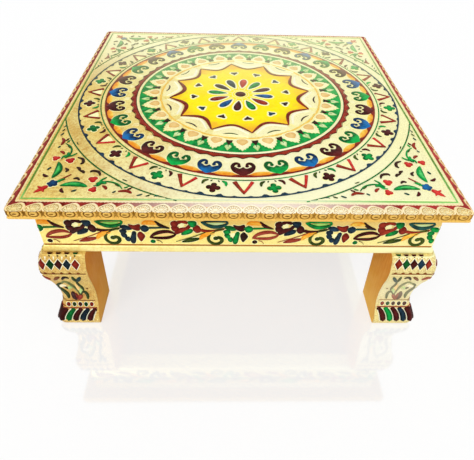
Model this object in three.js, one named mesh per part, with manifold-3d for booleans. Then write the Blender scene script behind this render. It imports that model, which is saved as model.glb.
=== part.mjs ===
// Low square table of the bajot kind: a wooden board on a box of aprons, four double-curved legs,
// and embossed gold sheet over every face that shows. Millimetres, +Z up, front towards -Y.
// The origin is on the floor, under the middle of the table.

import * as THREE from 'three';
import { mergeVertices } from 'three/addons/utils/BufferGeometryUtils.js';
import Module from 'manifold-3d';

const wasm = await Module();
wasm.setup();

// Overall sizes
const boardWidth = 305;
const legHeight = 82.5;
const baseHeight = 6.5;
const apronHeight = 36.2;
const edgeHeight = 10.5;

// Clearances: fitGap between cut pieces, overrun for tools that cut or join past a face
const fitGap = 0.3;
const overrun = 1;

// Embossed sheet
const sheetThick = 0.4;
const reliefHeight = 0.6;
const ribWidth = 1.8;
const rosettePoints = 12;
const rosetteTurn = Math.PI / 24;
const frameInset = 8.2;

// Radii of the raised ribs, in shares of half the board's width
const rosetteShare = 0.42;
const rosetteDepthShare = 0.069;
const lotusShare = 0.466;
const bandShare = 0.584;
const mangoShare = 0.784;
const outerShare = 0.925;

// Rings of raised cells, in shares of half the board's width: how far out from the middle each cell
// starts, how long it is and how wide it is
const petalShares = [0.08, 0.114, 0.046];
const lotusCellShares = [0.477, 0.096, 0.087];
const mangoCellShares = [0.678, 0.096, 0.114];
const flowerShares = [0.847, 0.066, 0.063];

// Outlines of the cells: how far along each point lies, and what share of the full width it has there
const petalOutlineShares = [[0, 0], [0.34, 0.45], [0.66, 0.95], [0.85, 0.9], [1, 0]];
const lotusOutlineShares = [[0, 0.5], [0.14, 1], [0.45, 1], [0.72, 0.6], [1, 0]];
const mangoOutlineShares = [[0, 0.45], [0.22, 1], [0.56, 0.95], [0.8, 0.55], [1, 0]];
const flowerOutlineShares = [[0, 0.42], [0.29, 1], [0.71, 1], [1, 0.42]];
const petalCount = 12;
const lotusCount = 24;
const mangoCount = 28;
const flowerCount = 20;
const crownShare = 0.62;

// How far the first petal and flower lie from the middle of the front, in shares of their spacing
const petalTurnShare = 0.25;
const flowerTurnShare = 0.5;

// Board
const cornerRadius = 1.5;
const roundOverWidth = 4.9;
const roundOverHeight = 3;
const roundOverSteps = 4;
const cornerSteps = 4;
const pointSteps = 6;
const roundSteps = 60;

// Apron box
const apronInset = 11;
const apronThick = 12;
const rebateDepth = 6;
const baseProud = 1.3;
const baseRound = 1.6;

// Leg: knee and foot stand out past the base moulding, the neck draws back behind it, and the
// inner faces lean so that the foot is narrower
const postSide = 16;
const postTopGap = 9;
const kneeProud = 5.6;
const neckBack = 0.9;
const legTaper = 1.8;
const legCornerRadius = 4;
const postCornerRadius = 1.5;
const legCornerSteps = 4;
const legRings = 20;
const sheetFootGap = 0.9;

// How far up the leg each point of its sawn outline lies, and how far out from neck to knee
const legOutlineShares = [
  [0, 0.74], [0.03, 0.87], [0.065, 0.95], [0.11, 0.85], [0.19, 0.46], [0.28, 0.09], [0.38, 0.02],
  [0.48, 0.12], [0.56, 0.32], [0.63, 0.53], [0.7, 0.82], [0.78, 0.98], [0.86, 1], [0.95, 0.76], [1, 0.45],
];

// Cleats and screws
const cleatSide = 14;
const cleatChamfer = 3;
const cleatScrewSpan = 130;
const screwRadius = 1.75;
const screwHeadRadius = 3.5;
const screwHeadHeight = 2.4;
const screwTipHeight = 3;
const screwSegments = 12;
const legScrewLength = 24;
const cleatScrewLength = 20;

// How far up the post, from the apron's foot to the post's top, its two screws lie
const legScrewShares = [0.34, 0.755];

// Levels and insets that follow from the sizes above
const half = boardWidth / 2;
const apronBottom = legHeight + baseHeight;
const boardBottom = apronBottom + apronHeight;
const sheetTop = boardBottom + edgeHeight;
const boardTop = sheetTop - sheetThick;
const tableHeight = sheetTop + reliefHeight;
const postTop = boardBottom - postTopGap;
const apronFace = apronInset + sheetThick;
const apronBack = apronFace + apronThick;
const baseFace = apronInset - baseProud;
const postFace = apronBack + fitGap;
const legBack = postFace + postSide;
const neckFace = baseFace + neckBack;
const skinGap = fitGap + sheetThick;
const quarterTurn = Math.PI / 2;

const sideNames = ['front', 'right', 'back', 'left'];
const legNames = ['front_left', 'front_right', 'back_right', 'back_left'];

// Materials
function finish(color, roughness, metalness) {
  return new THREE.MeshStandardMaterial({ color, roughness, metalness });
}

const goldSheet = finish(0xf2dc86, 0.36, 0.6);
const antiqueSheet = finish(0xd9a94a, 0.42, 0.55);
const gildedWood = finish(0xefd98c, 0.5, 0.2);
const paintedWood = finish(0xc8843f, 0.6, 0);
const rawWood = finish(0xc9a06c, 0.75, 0);
const steel = finish(0xa9adb0, 0.35, 0.9);

// Closed solids from stacks of outlines

// A grid of triangles between outlines with the same count of points, capped by the flat outlines
// that the first and last one are drawn on.
function loftSolid(rings, firstFlat, lastFlat) {
  const count = rings[0].length;
  const position = rings.flat().flatMap((point) => [point.x, point.y, point.z]);
  const index = [];
  for (let ring = 0; ring + 1 < rings.length; ring += 1) {
    for (let step = 0; step < count; step += 1) {
      const next = (step + 1) % count;
      const low = ring * count;
      const high = low + count;
      index.push(low + step, low + next, high + next);
      index.push(low + step, high + next, high + step);
    }
  }
  const last = (rings.length - 1) * count;
  const turn = THREE.ShapeUtils.area(firstFlat) > 0 ? 1 : -1;
  for (const [a, b, c] of THREE.ShapeUtils.triangulateShape(firstFlat, [])) {
    index.push(...(turn > 0 ? [c, b, a] : [a, b, c]));
  }
  for (const [a, b, c] of THREE.ShapeUtils.triangulateShape(lastFlat, [])) {
    index.push(...(turn > 0 ? [last + a, last + b, last + c] : [last + c, last + b, last + a]));
  }
  return outwardGeometry(position, index);
}

// A section carried round a closed ring of stations.
function ringSolid(sections) {
  const count = sections[0].length;
  const position = sections.flat().flatMap((point) => [point.x, point.y, point.z]);
  const index = [];
  for (let station = 0; station < sections.length; station += 1) {
    const here = station * count;
    const there = ((station + 1) % sections.length) * count;
    for (let step = 0; step < count; step += 1) {
      const next = (step + 1) % count;
      index.push(here + step, here + next, there + next);
      index.push(here + step, there + next, there + step);
    }
  }
  return outwardGeometry(position, index);
}

// Signed volume decides which way the faces turn.
function outwardGeometry(position, index) {
  const corner = (vertex) => new THREE.Vector3().fromArray(position, vertex * 3);
  let volume = 0;
  for (let at = 0; at < index.length; at += 3) {
    const [a, b, c] = [corner(index[at]), corner(index[at + 1]), corner(index[at + 2])];
    volume += a.dot(b.cross(c));
  }
  if (volume < 0) index.reverse();
  const geometry = new THREE.BufferGeometry();
  geometry.setAttribute('position', new THREE.Float32BufferAttribute(position, 3));
  geometry.setIndex(index);
  return geometry;
}

function toManifold(source) {
  const bare = source.index ? source.clone() : mergeVertices(source.clone());
  bare.deleteAttribute('normal');
  bare.deleteAttribute('uv');
  const merged = mergeVertices(bare);
  const corners = merged.index.array;
  const kept = [];
  for (let at = 0; at < corners.length; at += 3) {
    const [a, b, c] = [corners[at], corners[at + 1], corners[at + 2]];
    if (a !== b && b !== c && c !== a) kept.push(a, b, c);
  }
  return new wasm.Manifold(new wasm.Mesh({
    numProp: 3,
    vertProperties: new Float32Array(merged.attributes.position.array),
    triVerts: new Uint32Array(kept),
  }));
}

function fromManifold(solid) {
  const mesh = solid.getMesh();
  const geometry = new THREE.BufferGeometry();
  geometry.setAttribute('position', new THREE.Float32BufferAttribute(mesh.vertProperties, 3));
  geometry.setIndex(Array.from(mesh.triVerts));
  return geometry;
}

function cutAway(body, tools) {
  let solid = toManifold(body);
  for (const tool of tools) solid = solid.subtract(toManifold(tool));
  return fromManifold(solid);
}

function joinAll(body, extras) {
  let solid = toManifold(body);
  for (const extra of extras) solid = solid.add(toManifold(extra));
  return fromManifold(solid);
}

function boxBetween(low, high) {
  const size = new THREE.Vector3().subVectors(high, low);
  const middle = new THREE.Vector3().addVectors(low, high).multiplyScalar(0.5);
  return new THREE.BoxGeometry(size.x, size.y, size.z).translate(middle.x, middle.y, middle.z);
}

// Outlines

// Every level of the board has the same rounding at its corners.
function roundedSquare(reach) {
  const points = [];
  for (let corner = 0; corner < 4; corner += 1) {
    const centre = new THREE.Vector2(reach - cornerRadius, reach - cornerRadius);
    for (let step = 0; step <= cornerSteps; step += 1) {
      const angle = (step / cornerSteps) * quarterTurn;
      const point = new THREE.Vector2(Math.cos(angle), Math.sin(angle)).multiplyScalar(cornerRadius);
      points.push(point.add(centre).rotateAround(new THREE.Vector2(), corner * quarterTurn));
    }
  }
  return points;
}

function level(outline, height) {
  return outline.map((point) => new THREE.Vector3(point.x, point.y, height));
}

// The board's outer profile from its underside to its top, moved in by a given distance. Each point
// holds the inset from the table's outer edge and the level.
function edgeProfile(inward) {
  const points = [new THREE.Vector2(inward, boardBottom)];
  const wide = roundOverWidth - inward;
  const high = roundOverHeight - inward;
  for (let step = 0; step <= roundOverSteps; step += 1) {
    const angle = (step / roundOverSteps) * quarterTurn;
    const inset = roundOverWidth - wide * Math.cos(angle);
    points.push(new THREE.Vector2(inset, sheetTop - roundOverHeight + high * Math.sin(angle)));
  }
  return points;
}

// Board and its sheet

function topBoard() {
  const profile = edgeProfile(skinGap);
  profile[profile.length - 1].x += fitGap;
  profile.push(new THREE.Vector2(roundOverWidth + fitGap, boardTop));
  const outlines = profile.map((point) => roundedSquare(half - point.x));
  const rings = outlines.map((outline, at) => level(outline, profile[at].y));
  const body = loftSolid(rings, outlines[0], outlines[outlines.length - 1]);
  return cutAway(body, cleatScrewPlaces().map((place) => screwTool(cleatScrewLength, place)));
}

// A raised rib round the middle of the sheet. With points, its radius draws in between them.
function rib(radius, depth, points, stations) {
  const low = sheetTop - sheetThick / 2;
  const sections = [];
  for (let station = 0; station < stations; station += 1) {
    const angle = (station / stations) * 2 * Math.PI;
    const reach = radius - depth * Math.abs(Math.sin((points * angle) / 2));
    const turned = angle + rosetteTurn - quarterTurn;
    const along = new THREE.Vector3(Math.cos(turned), Math.sin(turned), 0);
    const spot = (outward, height) => along.clone().multiplyScalar(reach + outward).setZ(height);
    const side = ribWidth / 2;
    const crown = side / 2;
    sections.push([spot(-side, low), spot(side, low), spot(crown, tableHeight), spot(-crown, tableHeight)]);
  }
  return ringSolid(sections);
}

// A raised frame along the edges of the sheet.
function squareRib(inset) {
  const low = sheetTop - sheetThick / 2;
  const side = ribWidth / 2;
  const crown = side / 2;
  const reaches = [[-side, low], [side, low], [crown, tableHeight], [-crown, tableHeight]];
  const sections = [0, 1, 2, 3].map((corner) => reaches.map(([outward, height]) => {
    const reach = half - inset + outward;
    const turn = new THREE.Vector2(reach, reach).rotateAround(new THREE.Vector2(), corner * quarterTurn);
    return new THREE.Vector3(turn.x, turn.y, height);
  }));
  return ringSolid(sections);
}

// A cell with sloping sides, drawn from the middle outward, and the ring of its copies.
function cellRing(placeShares, outlineShares, count, firstShare) {
  const [start, length, width] = placeShares.map((share) => share * half);
  const right = outlineShares.map(([along, across]) => (
    new THREE.Vector2(start + along * length, (across * width) / 2)
  ));
  const left = right.filter((point) => point.y > 0).map((point) => new THREE.Vector2(point.x, -point.y));
  const outline = [...right, ...left.reverse()];
  const centre = new THREE.Vector2(start + length / 2, 0);
  const crown = outline.map((point) => centre.clone().lerp(point, crownShare));
  const low = sheetTop - sheetThick / 2;
  const rings = [level(outline, low), level(outline, sheetTop), level(crown, tableHeight)];
  const cell = loftSolid(rings, outline, crown);
  const spacing = (2 * Math.PI) / count;
  return Array.from({ length: count }, (_, which) => (
    cell.clone().rotateZ((which + firstShare) * spacing - quarterTurn)
  ));
}

function topSheet() {
  const outline = roundedSquare(half - roundOverWidth - fitGap);
  const plate = loftSolid([level(outline, boardTop), level(outline, sheetTop)], outline, outline);
  return joinAll(plate, [
    rib(half * rosetteShare, half * rosetteDepthShare, rosettePoints, rosettePoints * pointSteps),
    rib(half * lotusShare, 0, 0, roundSteps),
    rib(half * bandShare, 0, 0, roundSteps),
    rib(half * mangoShare, 0, 0, roundSteps),
    rib(half * outerShare, 0, 0, roundSteps),
    squareRib(frameInset),
    ...cellRing(petalShares, petalOutlineShares, petalCount, -petalTurnShare),
    ...cellRing(lotusCellShares, lotusOutlineShares, lotusCount, 0),
    ...cellRing(mangoCellShares, mangoOutlineShares, mangoCount, 0),
    ...cellRing(flowerShares, flowerOutlineShares, flowerCount, flowerTurnShare),
  ]);
}

function edgeSheet() {
  const outer = edgeProfile(0);
  const inner = edgeProfile(sheetThick).reverse();
  const profile = [...outer, ...inner];
  const rings = [];
  const steps = cornerSteps / 2;
  for (const end of [-1, 1]) {
    for (let step = 0; step <= steps; step += 1) {
      const turned = end < 0 ? 1 - step / steps : step / steps;
      rings.push(profile.map((point) => {
        const centre = half - point.x - cornerRadius;
        const angle = end * turned * (quarterTurn / 2 - Math.asin(fitGap / 2 / cornerRadius));
        const x = end * centre + cornerRadius * Math.sin(angle);
        return new THREE.Vector3(x, -centre - cornerRadius * Math.cos(angle), point.y);
      }));
    }
  }
  return loftSolid(rings, profile, profile);
}

// Apron box

function mitredBar(profile) {
  const back = fitGap * Math.SQRT1_2;
  const rings = [-1, 1].map((end) => profile.map((point) => (
    new THREE.Vector3(end * (half - point.x - back), point.x - half, point.y)
  )));
  return loftSolid(rings, profile, profile);
}

function baseMoulding() {
  const low = legHeight;
  const high = apronBottom;
  const soft = baseRound * (1 - Math.SQRT1_2);
  const profile = [
    [apronBack, low], [baseFace + baseRound, low], [baseFace + soft, low + soft],
    [baseFace, low + baseRound], [baseFace, high - baseRound], [baseFace + soft, high - soft],
    [baseFace + baseRound, high], [apronBack, high],
  ].map(([inset, height]) => new THREE.Vector2(inset, height));
  return mitredBar(profile);
}

// Front and back aprons run the full width and are rebated at their ends for the side aprons.
function longApron() {
  const reach = half - apronFace;
  const body = boxBetween(
    new THREE.Vector3(-reach, -reach, apronBottom),
    new THREE.Vector3(reach, apronThick - reach, boardBottom),
  );
  const rebates = [-1, 1].map((end) => {
    const inside = end * (reach - apronThick - fitGap);
    const outside = end * (reach + overrun);
    return boxBetween(
      new THREE.Vector3(Math.min(inside, outside), apronThick - rebateDepth - reach, apronBottom - overrun),
      new THREE.Vector3(Math.max(inside, outside), apronThick - reach + overrun, boardBottom + overrun),
    );
  });
  return cutAway(body, [...rebates, ...apronTools()]);
}

// Side aprons lie between the long ones, drawn here in the front place and turned to their side.
function sideApron() {
  const reach = half - apronFace;
  const length = reach - apronThick + rebateDepth - fitGap;
  const body = boxBetween(
    new THREE.Vector3(-length, -reach, apronBottom),
    new THREE.Vector3(length, apronThick - reach, boardBottom),
  );
  return cutAway(body, apronTools());
}

function apronSheet(isSide) {
  const reach = half - apronInset - (isSide ? sheetThick + fitGap : 0);
  return boxBetween(
    new THREE.Vector3(-reach, apronInset - half, apronBottom + fitGap),
    new THREE.Vector3(reach, apronFace - half, boardBottom - fitGap),
  );
}

// Bores for the two leg screws that reach into an apron drawn in the front place.
function apronTools() {
  const across = half - postFace - postSide / 2;
  return [
    screwTool(legScrewLength, legScrewPlace(-across, 0)),
    screwTool(legScrewLength, legScrewPlace(across, 1)),
  ];
}

// Legs

const legOutline = new THREE.SplineCurve(
  legOutlineShares.map(([up, out]) => new THREE.Vector2(up, out)),
);

// Inset of the leg's outer faces at each of its levels.
function legLevels() {
  return legOutline.getPoints(legRings).map((point) => ({
    height: THREE.MathUtils.clamp(point.x, 0, 1) * legHeight,
    face: neckFace - (kneeProud + neckBack) * point.y,
  }));
}

// Inset of the leg's inner faces at a height.
function backAt(height) {
  return legBack - legTaper * (1 - height / legHeight);
}

// Two outer faces that meet in a rounded corner, listed from the front face to the side face.
function cornerLine(face, radius, back) {
  const points = [new THREE.Vector2(back, face)];
  for (let step = 0; step <= legCornerSteps; step += 1) {
    const angle = (step / legCornerSteps) * quarterTurn;
    const across = face + radius * (1 - Math.sin(angle));
    points.push(new THREE.Vector2(across, face + radius * (1 - Math.cos(angle))));
  }
  points.push(new THREE.Vector2(face, back));
  return points;
}

function inCorner(outline, height) {
  return outline.map((point) => new THREE.Vector3(point.x - half, point.y - half, height));
}

function legBody() {
  const section = (face, radius, back) => [...cornerLine(face, radius, back), new THREE.Vector2(back, back)];
  const rings = legLevels().map(({ height, face }) => (
    inCorner(section(face, legCornerRadius, backAt(height)), height)
  ));
  const post = section(postFace, postCornerRadius, legBack);
  rings.push(inCorner(post, legHeight));
  rings.push(inCorner(post, postTop));
  const foot = section(legLevels()[0].face, legCornerRadius, backAt(0));
  const body = loftSolid(rings, foot, post);
  const across = half - postFace - postSide / 2;
  const frontTool = screwTool(legScrewLength, legScrewPlace(-across, 0));
  const sideTool = screwTool(legScrewLength, legScrewPlace(across, 1)).rotateZ(-quarterTurn);
  return cutAway(body, [frontTool, sideTool]);
}

// The leg's levels between two heights, with a level worked out at each end.
function levelsBetween(low, high) {
  const levels = legLevels();
  const faceAt = (height) => {
    const above = Math.max(1, levels.findIndex((entry) => entry.height >= height));
    const [from, to] = [levels[above - 1], levels[above]];
    return THREE.MathUtils.mapLinear(height, from.height, to.height, from.face, to.face);
  };
  const inside = levels.filter((entry) => entry.height > low && entry.height < high);
  return [{ height: low, face: faceAt(low) }, ...inside, { height: high, face: faceAt(high) }];
}

// The sheet wraps the two outer faces and the corner between them.
function legSheet() {
  const sections = levelsBetween(sheetFootGap, legHeight - fitGap).map(({ height, face }) => ({
    height,
    outline: [
      ...cornerLine(face - skinGap, legCornerRadius + skinGap, backAt(height)),
      ...cornerLine(face - fitGap, legCornerRadius + fitGap, backAt(height)).reverse(),
    ],
  }));
  const rings = sections.map(({ height, outline }) => inCorner(outline, height));
  return loftSolid(rings, sections[0].outline, sections[sections.length - 1].outline);
}

// Cleats and screws

function cleat() {
  const reach = half - legBack - fitGap;
  const low = boardBottom - cleatSide;
  const profile = [
    [apronBack, low], [apronBack + cleatSide - cleatChamfer, low],
    [apronBack + cleatSide, low + cleatChamfer], [apronBack + cleatSide, boardBottom], [apronBack, boardBottom],
  ].map(([inset, height]) => new THREE.Vector2(inset, height));
  const rings = [-reach, reach].map((x) => profile.map((point) => (
    new THREE.Vector3(x, point.x - half, point.y)
  )));
  const places = [-1, 1].map((end) => cleatScrewPlace(end));
  return cutAway(loftSolid(rings, profile, profile), places.map((place) => screwTool(cleatScrewLength, place)));
}

// A countersunk screw with its head at the origin and its shank along +Z.
function screwShape(length, extra) {
  const head = screwHeadRadius + extra;
  const shank = screwRadius + extra;
  const tip = length + extra;
  const profile = [
    [0, 0], [head, 0], [shank, screwHeadHeight + extra], [shank, tip - screwTipHeight], [0, tip],
  ].map(([radius, height]) => new THREE.Vector2(radius, height));
  return new THREE.LatheGeometry(profile, screwSegments).rotateX(quarterTurn);
}

function screw(length, place) {
  return screwShape(length, 0).applyMatrix4(place);
}

// The bore for a screw, wider by the clearance and open past the face that the head lies in.
function screwTool(length, place) {
  const head = screwHeadRadius + fitGap;
  const shank = screwRadius + fitGap;
  const profile = [
    [0, -overrun], [head, -overrun], [head, 0], [shank, screwHeadHeight + fitGap],
    [shank, length + fitGap - screwTipHeight], [0, length + 2 * fitGap],
  ].map(([radius, height]) => new THREE.Vector2(radius, height));
  return new THREE.LatheGeometry(profile, screwSegments).rotateX(quarterTurn).applyMatrix4(place);
}

// Screw heads lie a clearance below the face that they are driven from.
function legScrewPlace(x, which) {
  const height = THREE.MathUtils.lerp(apronBottom, postTop, legScrewShares[which]);
  return new THREE.Matrix4().makeTranslation(x, legBack - half - fitGap, height)
    .multiply(new THREE.Matrix4().makeRotationX(quarterTurn));
}

function cleatScrewPlace(end) {
  const inset = apronBack + (cleatSide - cleatChamfer) / 2;
  return new THREE.Matrix4().makeTranslation(
    end * (cleatScrewSpan / 2), inset - half, boardBottom - cleatSide + fitGap,
  );
}

function cleatScrewPlaces() {
  const turns = [0, 1, 2, 3].map((side) => new THREE.Matrix4().makeRotationZ(side * quarterTurn));
  return turns.flatMap((turn) => [-1, 1].map((end) => turn.clone().multiply(cleatScrewPlace(end))));
}

// Assembly

const table = new THREE.Group();

function addPiece(name, geometry, material, quarterTurns = 0) {
  const piece = new THREE.Mesh(geometry, material);
  piece.name = name;
  piece.rotation.z = quarterTurns * quarterTurn;
  table.add(piece);
}

addPiece('top_board', topBoard(), rawWood);
addPiece('top_sheet', topSheet(), goldSheet);

sideNames.forEach((name, turns) => {
  const isSide = turns % 2 === 1;
  addPiece(`edge_sheet_${name}`, edgeSheet(), antiqueSheet, turns);
  addPiece(`apron_board_${name}`, isSide ? sideApron() : longApron(), rawWood, turns);
  addPiece(`apron_sheet_${name}`, apronSheet(isSide), goldSheet, turns);
  addPiece(`base_moulding_${name}`, baseMoulding(), gildedWood, turns);
  addPiece(`cleat_${name}`, cleat(), rawWood, turns);
  [-1, 1].forEach((end, at) => {
    addPiece(`cleat_screw_${name}_${at + 1}`, screw(cleatScrewLength, cleatScrewPlace(end)), steel, turns);
  });
});

legNames.forEach((name, turns) => {
  const across = half - postFace - postSide / 2;
  addPiece(`leg_${name}`, legBody(), paintedWood, turns);
  addPiece(`leg_sheet_${name}`, legSheet(), goldSheet, turns);
  addPiece(`leg_screw_${name}_1`, screw(legScrewLength, legScrewPlace(-across, 0)), steel, turns);
  const turned = screw(legScrewLength, legScrewPlace(across, 1)).rotateZ(-quarterTurn);
  addPiece(`leg_screw_${name}_2`, turned, steel, turns);
});

export default table;
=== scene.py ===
import math

import bpy
import numpy as np
from mathutils import Matrix, Vector


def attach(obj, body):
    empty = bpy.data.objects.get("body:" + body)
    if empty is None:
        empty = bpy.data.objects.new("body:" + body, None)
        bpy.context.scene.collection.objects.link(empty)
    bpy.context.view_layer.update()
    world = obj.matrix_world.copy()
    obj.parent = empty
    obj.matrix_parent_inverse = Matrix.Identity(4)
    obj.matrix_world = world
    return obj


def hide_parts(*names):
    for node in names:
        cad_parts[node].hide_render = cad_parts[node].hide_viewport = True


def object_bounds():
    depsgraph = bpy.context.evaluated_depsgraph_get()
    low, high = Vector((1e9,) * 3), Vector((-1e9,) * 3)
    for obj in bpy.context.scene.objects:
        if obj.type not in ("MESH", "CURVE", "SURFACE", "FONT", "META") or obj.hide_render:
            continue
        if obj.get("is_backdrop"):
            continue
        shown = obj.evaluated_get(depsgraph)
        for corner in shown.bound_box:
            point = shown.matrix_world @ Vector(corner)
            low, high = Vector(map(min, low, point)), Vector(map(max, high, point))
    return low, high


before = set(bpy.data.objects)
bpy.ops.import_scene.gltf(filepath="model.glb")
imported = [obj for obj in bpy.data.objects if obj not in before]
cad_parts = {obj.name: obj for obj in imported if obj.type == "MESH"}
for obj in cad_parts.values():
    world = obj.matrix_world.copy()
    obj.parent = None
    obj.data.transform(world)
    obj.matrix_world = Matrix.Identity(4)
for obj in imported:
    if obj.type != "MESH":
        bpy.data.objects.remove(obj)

CAD_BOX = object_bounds()

# Low square table of the bajot kind, with embossed gold sheet and enamel over a wooden body.
# Patterns are drawn in millimetres on each face and laid on it by a mapping for that face.

MM = 0.001
rng = np.random.default_rng(7)

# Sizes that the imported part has, in millimetres
HALF = round(CAD_BOX[1][0] / MM, 1)
TOP = 135.7
EDGE_LOW = 125.2
CORNER = 1.5
ROUND_WIDE = 4.9
ROUND_HIGH = 3.0
APRON_FACE = 141.5
APRON_LOW = 89.0
LEG_HIGH = 82.5
LEG_BACK = 39.7
LEG_TAPER = 1.8
LEG_ROUND = 4.7
NECK_FACE = 10.6
KNEE_REACH = 6.5
BASE_FACE = 9.7
BASE_BACK = 23.4
BASE_ROUND = 2.0
SHEET = 0.4
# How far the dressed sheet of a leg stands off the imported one
SKIN = 0.7
# How far the leg stands out at shares of its height
LEG_SHARES = [
    (0, 0.74), (0.03, 0.87), (0.065, 0.95), (0.11, 0.85), (0.19, 0.46), (0.28, 0.09), (0.38, 0.02),
    (0.48, 0.12), (0.56, 0.32), (0.63, 0.53), (0.7, 0.82), (0.78, 0.98), (0.86, 1), (0.95, 0.76), (1, 0.45),
]

# The rings of the top are hand laid: their middles are a little off the board's, and they are slightly long
MIDDLE = (1.2, 1.9)
FLOWER_MIDDLE = (0.2, 0.9)
BAND_MIDDLE = (0, 0.6)
ARC_MIDDLE = (-0.3, 0.4)
LONG = 1.01

# Half the width of the green line that frames the pattern
FRAME_REACH = 144.0
# Radii of the rings from the middle outward
SEED_REACH = 12.2
DROP_REACH = 42
SCALLOP_REACH = 64.6
SCALLOP_DIP = 10.5
ARC_REACH = 71.6
LOTUS_FOOT = 72.6
LOTUS_MIDDLE = 83
PLAIN_REACH = 92.0
TOOTH_REACH = 94.8
MANGO_FOOT = 103.6
MANGO_HEAD = 119.6
FLOWER_FOOT = 125.2
FLOWER_REACH = 133.4
WAVE_REACH = 140.6
BAND_INNER = 141.8
BAND_OUTER = 149.0
CORNER_ARC = 150.0
# How often each ring repeats its pattern
PETALS = 12
LOTUSES = 24
TEETH = 56
MANGOES = 28
FLOWERS = 20

SIDES = ("front", "right", "back", "left")
LEGS = ("front_left", "front_right", "back_right", "back_left")

# The camera as fitted to the photograph: sizes in pixels, angles in degrees, place in millimetres
PHOTO_WIDE = 474
PHOTO_HIGH = 460
FOCAL = 441.11
AXIS = (239.916, 179.889)
DOWN, YAW, ROLL = 39, -2.149, -1.981
EYE = (-10.277, -361.23, 329.182)
SENSOR = 36


def add_object(name, data):
    made = bpy.data.objects.new(name, data)
    bpy.context.scene.collection.objects.link(made)
    return made


def add_camera():
    down, yaw, roll = (math.radians(angle) for angle in (DOWN, YAW, ROLL))
    c, s = math.cos(yaw), math.sin(yaw)
    flat = Vector((c, s, 0))
    ahead = Vector((-s * math.cos(down), c * math.cos(down), -math.sin(down)))
    upward = Vector((-s * math.sin(down), c * math.sin(down), math.cos(down)))
    right = math.cos(roll) * flat - math.sin(roll) * upward
    up = math.sin(roll) * flat + math.cos(roll) * upward
    data = bpy.data.cameras.new("camera")
    data.sensor_fit = "HORIZONTAL"
    data.sensor_width = SENSOR
    data.lens = FOCAL * SENSOR / PHOTO_WIDE
    data.shift_x = (PHOTO_WIDE / 2 - AXIS[0]) / PHOTO_WIDE
    data.shift_y = (AXIS[1] - PHOTO_HIGH / 2) / PHOTO_WIDE
    data.clip_start = 0.01
    data.clip_end = 50
    camera = add_object("camera", data)
    turn = Matrix((right, up, -ahead)).transposed().to_4x4()
    camera.matrix_world = Matrix.Translation(Vector(EYE) * MM) @ turn
    bpy.context.scene.camera = camera


# Shader nodes

def srgb(*color):
    """A colour in 0 to 255 as nodes take it."""
    out = []
    for value in color:
        share = value / 255
        out.append(share / 12.92 if share <= 0.04045 else ((share + 0.055) / 1.055) ** 2.4)
    return (*out, 1.0)


class Nodes:
    """A node tree and short ways to add to it."""

    def __init__(self, tree):
        self.tree = tree

    def put(self, socket, value):
        if isinstance(value, bpy.types.NodeSocket):
            self.tree.links.new(value, socket)
        else:
            socket.default_value = value

    def fill(self, node, **inputs):
        for name, value in inputs.items():
            self.put(node.inputs[name.replace("_", " ")], value)

    def node(self, kind, **inputs):
        made = self.tree.nodes.new("ShaderNode" + kind)
        self.fill(made, **inputs)
        return made

    def sums(self, operation, *values):
        node = self.node("Math")
        node.operation = operation
        for socket, value in zip(node.inputs, values):
            self.put(socket, value)
        return node.outputs[0]

    def ramp(self, factor, stops):
        node = self.node("ValToRGB", Fac=factor)
        bar = node.color_ramp.elements
        for item, (position, color) in zip(bar, stops):
            item.position = position
            item.color = color
        for position, color in stops[len(bar):]:
            bar.new(position).color = color
        return node.outputs["Color"]

    def blend_shaders(self, factor, first, second):
        node = self.node("MixShader", Fac=factor)
        self.put(node.inputs[1], first.outputs[0])
        self.put(node.inputs[2], second.outputs[0])
        return node


class Shader(Nodes):
    """A material."""

    def __init__(self, name):
        self.material = bpy.data.materials.new(name)
        self.material.use_nodes = True
        super().__init__(self.material.node_tree)
        self.body = self.tree.nodes["Principled BSDF"]
        self.spot = self.node("TexCoord").outputs["Object"]

    def stretched(self, scale, shift=(0, 0, 0)):
        return self.node("Mapping", Vector=self.spot, Scale=scale, Location=shift).outputs["Vector"]

    def noise(self, scale, detail=3, rough=0.5, distortion=0, vector=None):
        node = self.node("TexNoise", Vector=vector or self.spot, Scale=scale, Detail=detail,
                         Roughness=rough, Distortion=distortion)
        return node.outputs["Fac"]

    def cells(self, scale, jitter):
        return self.node("TexVoronoi", Vector=self.spot, Scale=scale, Randomness=jitter).outputs["Distance"]

    def scaled(self, value, low, high, to_low=0.0, to_high=1.0):
        node = self.node("MapRange", Value=value, From_Min=low, From_Max=high, To_Min=to_low, To_Max=to_high)
        return node.outputs["Result"]

    def blend(self, factor, first, second):
        node = self.node("Mix")
        node.data_type = "RGBA"
        self.fill(node, Factor=factor, A=first, B=second)
        return node.outputs["Result"]

    def mark(self, name):
        node = self.node("Attribute")
        node.attribute_name = name
        return node.outputs["Fac"]

    def bump(self, height, strength, distance, **under):
        node = self.node("Bump", Strength=strength, Distance=distance, Height=height, **under)
        return node.outputs["Normal"]

    def axis(self, name):
        return self.node("SeparateXYZ", Vector=self.spot).outputs[name]

    def patch(self, middle, reach):
        """One at a point of the object, falling to nothing at the reach."""
        scale = [1 / r if r else 0 for r in reach]
        node = self.node("TexGradient", Vector=self.stretched(scale, [-m * s for m, s in zip(middle, scale)]))
        node.gradient_type = "SPHERICAL"
        return node.outputs["Fac"]

    def painted_highlight(self, color, area, low, high, most, tint):
        """The colour, turning to the tint inside an area: a painted highlight."""
        return self.blend(self.scaled(self.patch(*area), low, high, 0.0, most), color, srgb(*tint))

    def set(self, **values):
        self.fill(self.body, **values)
        return self.material


# Materials

PALE = (252, 243, 154)
WARM = (234, 203, 108)
DEEP = (176, 124, 50)
SHEEN_CREAM = (254, 252, 202)
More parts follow.
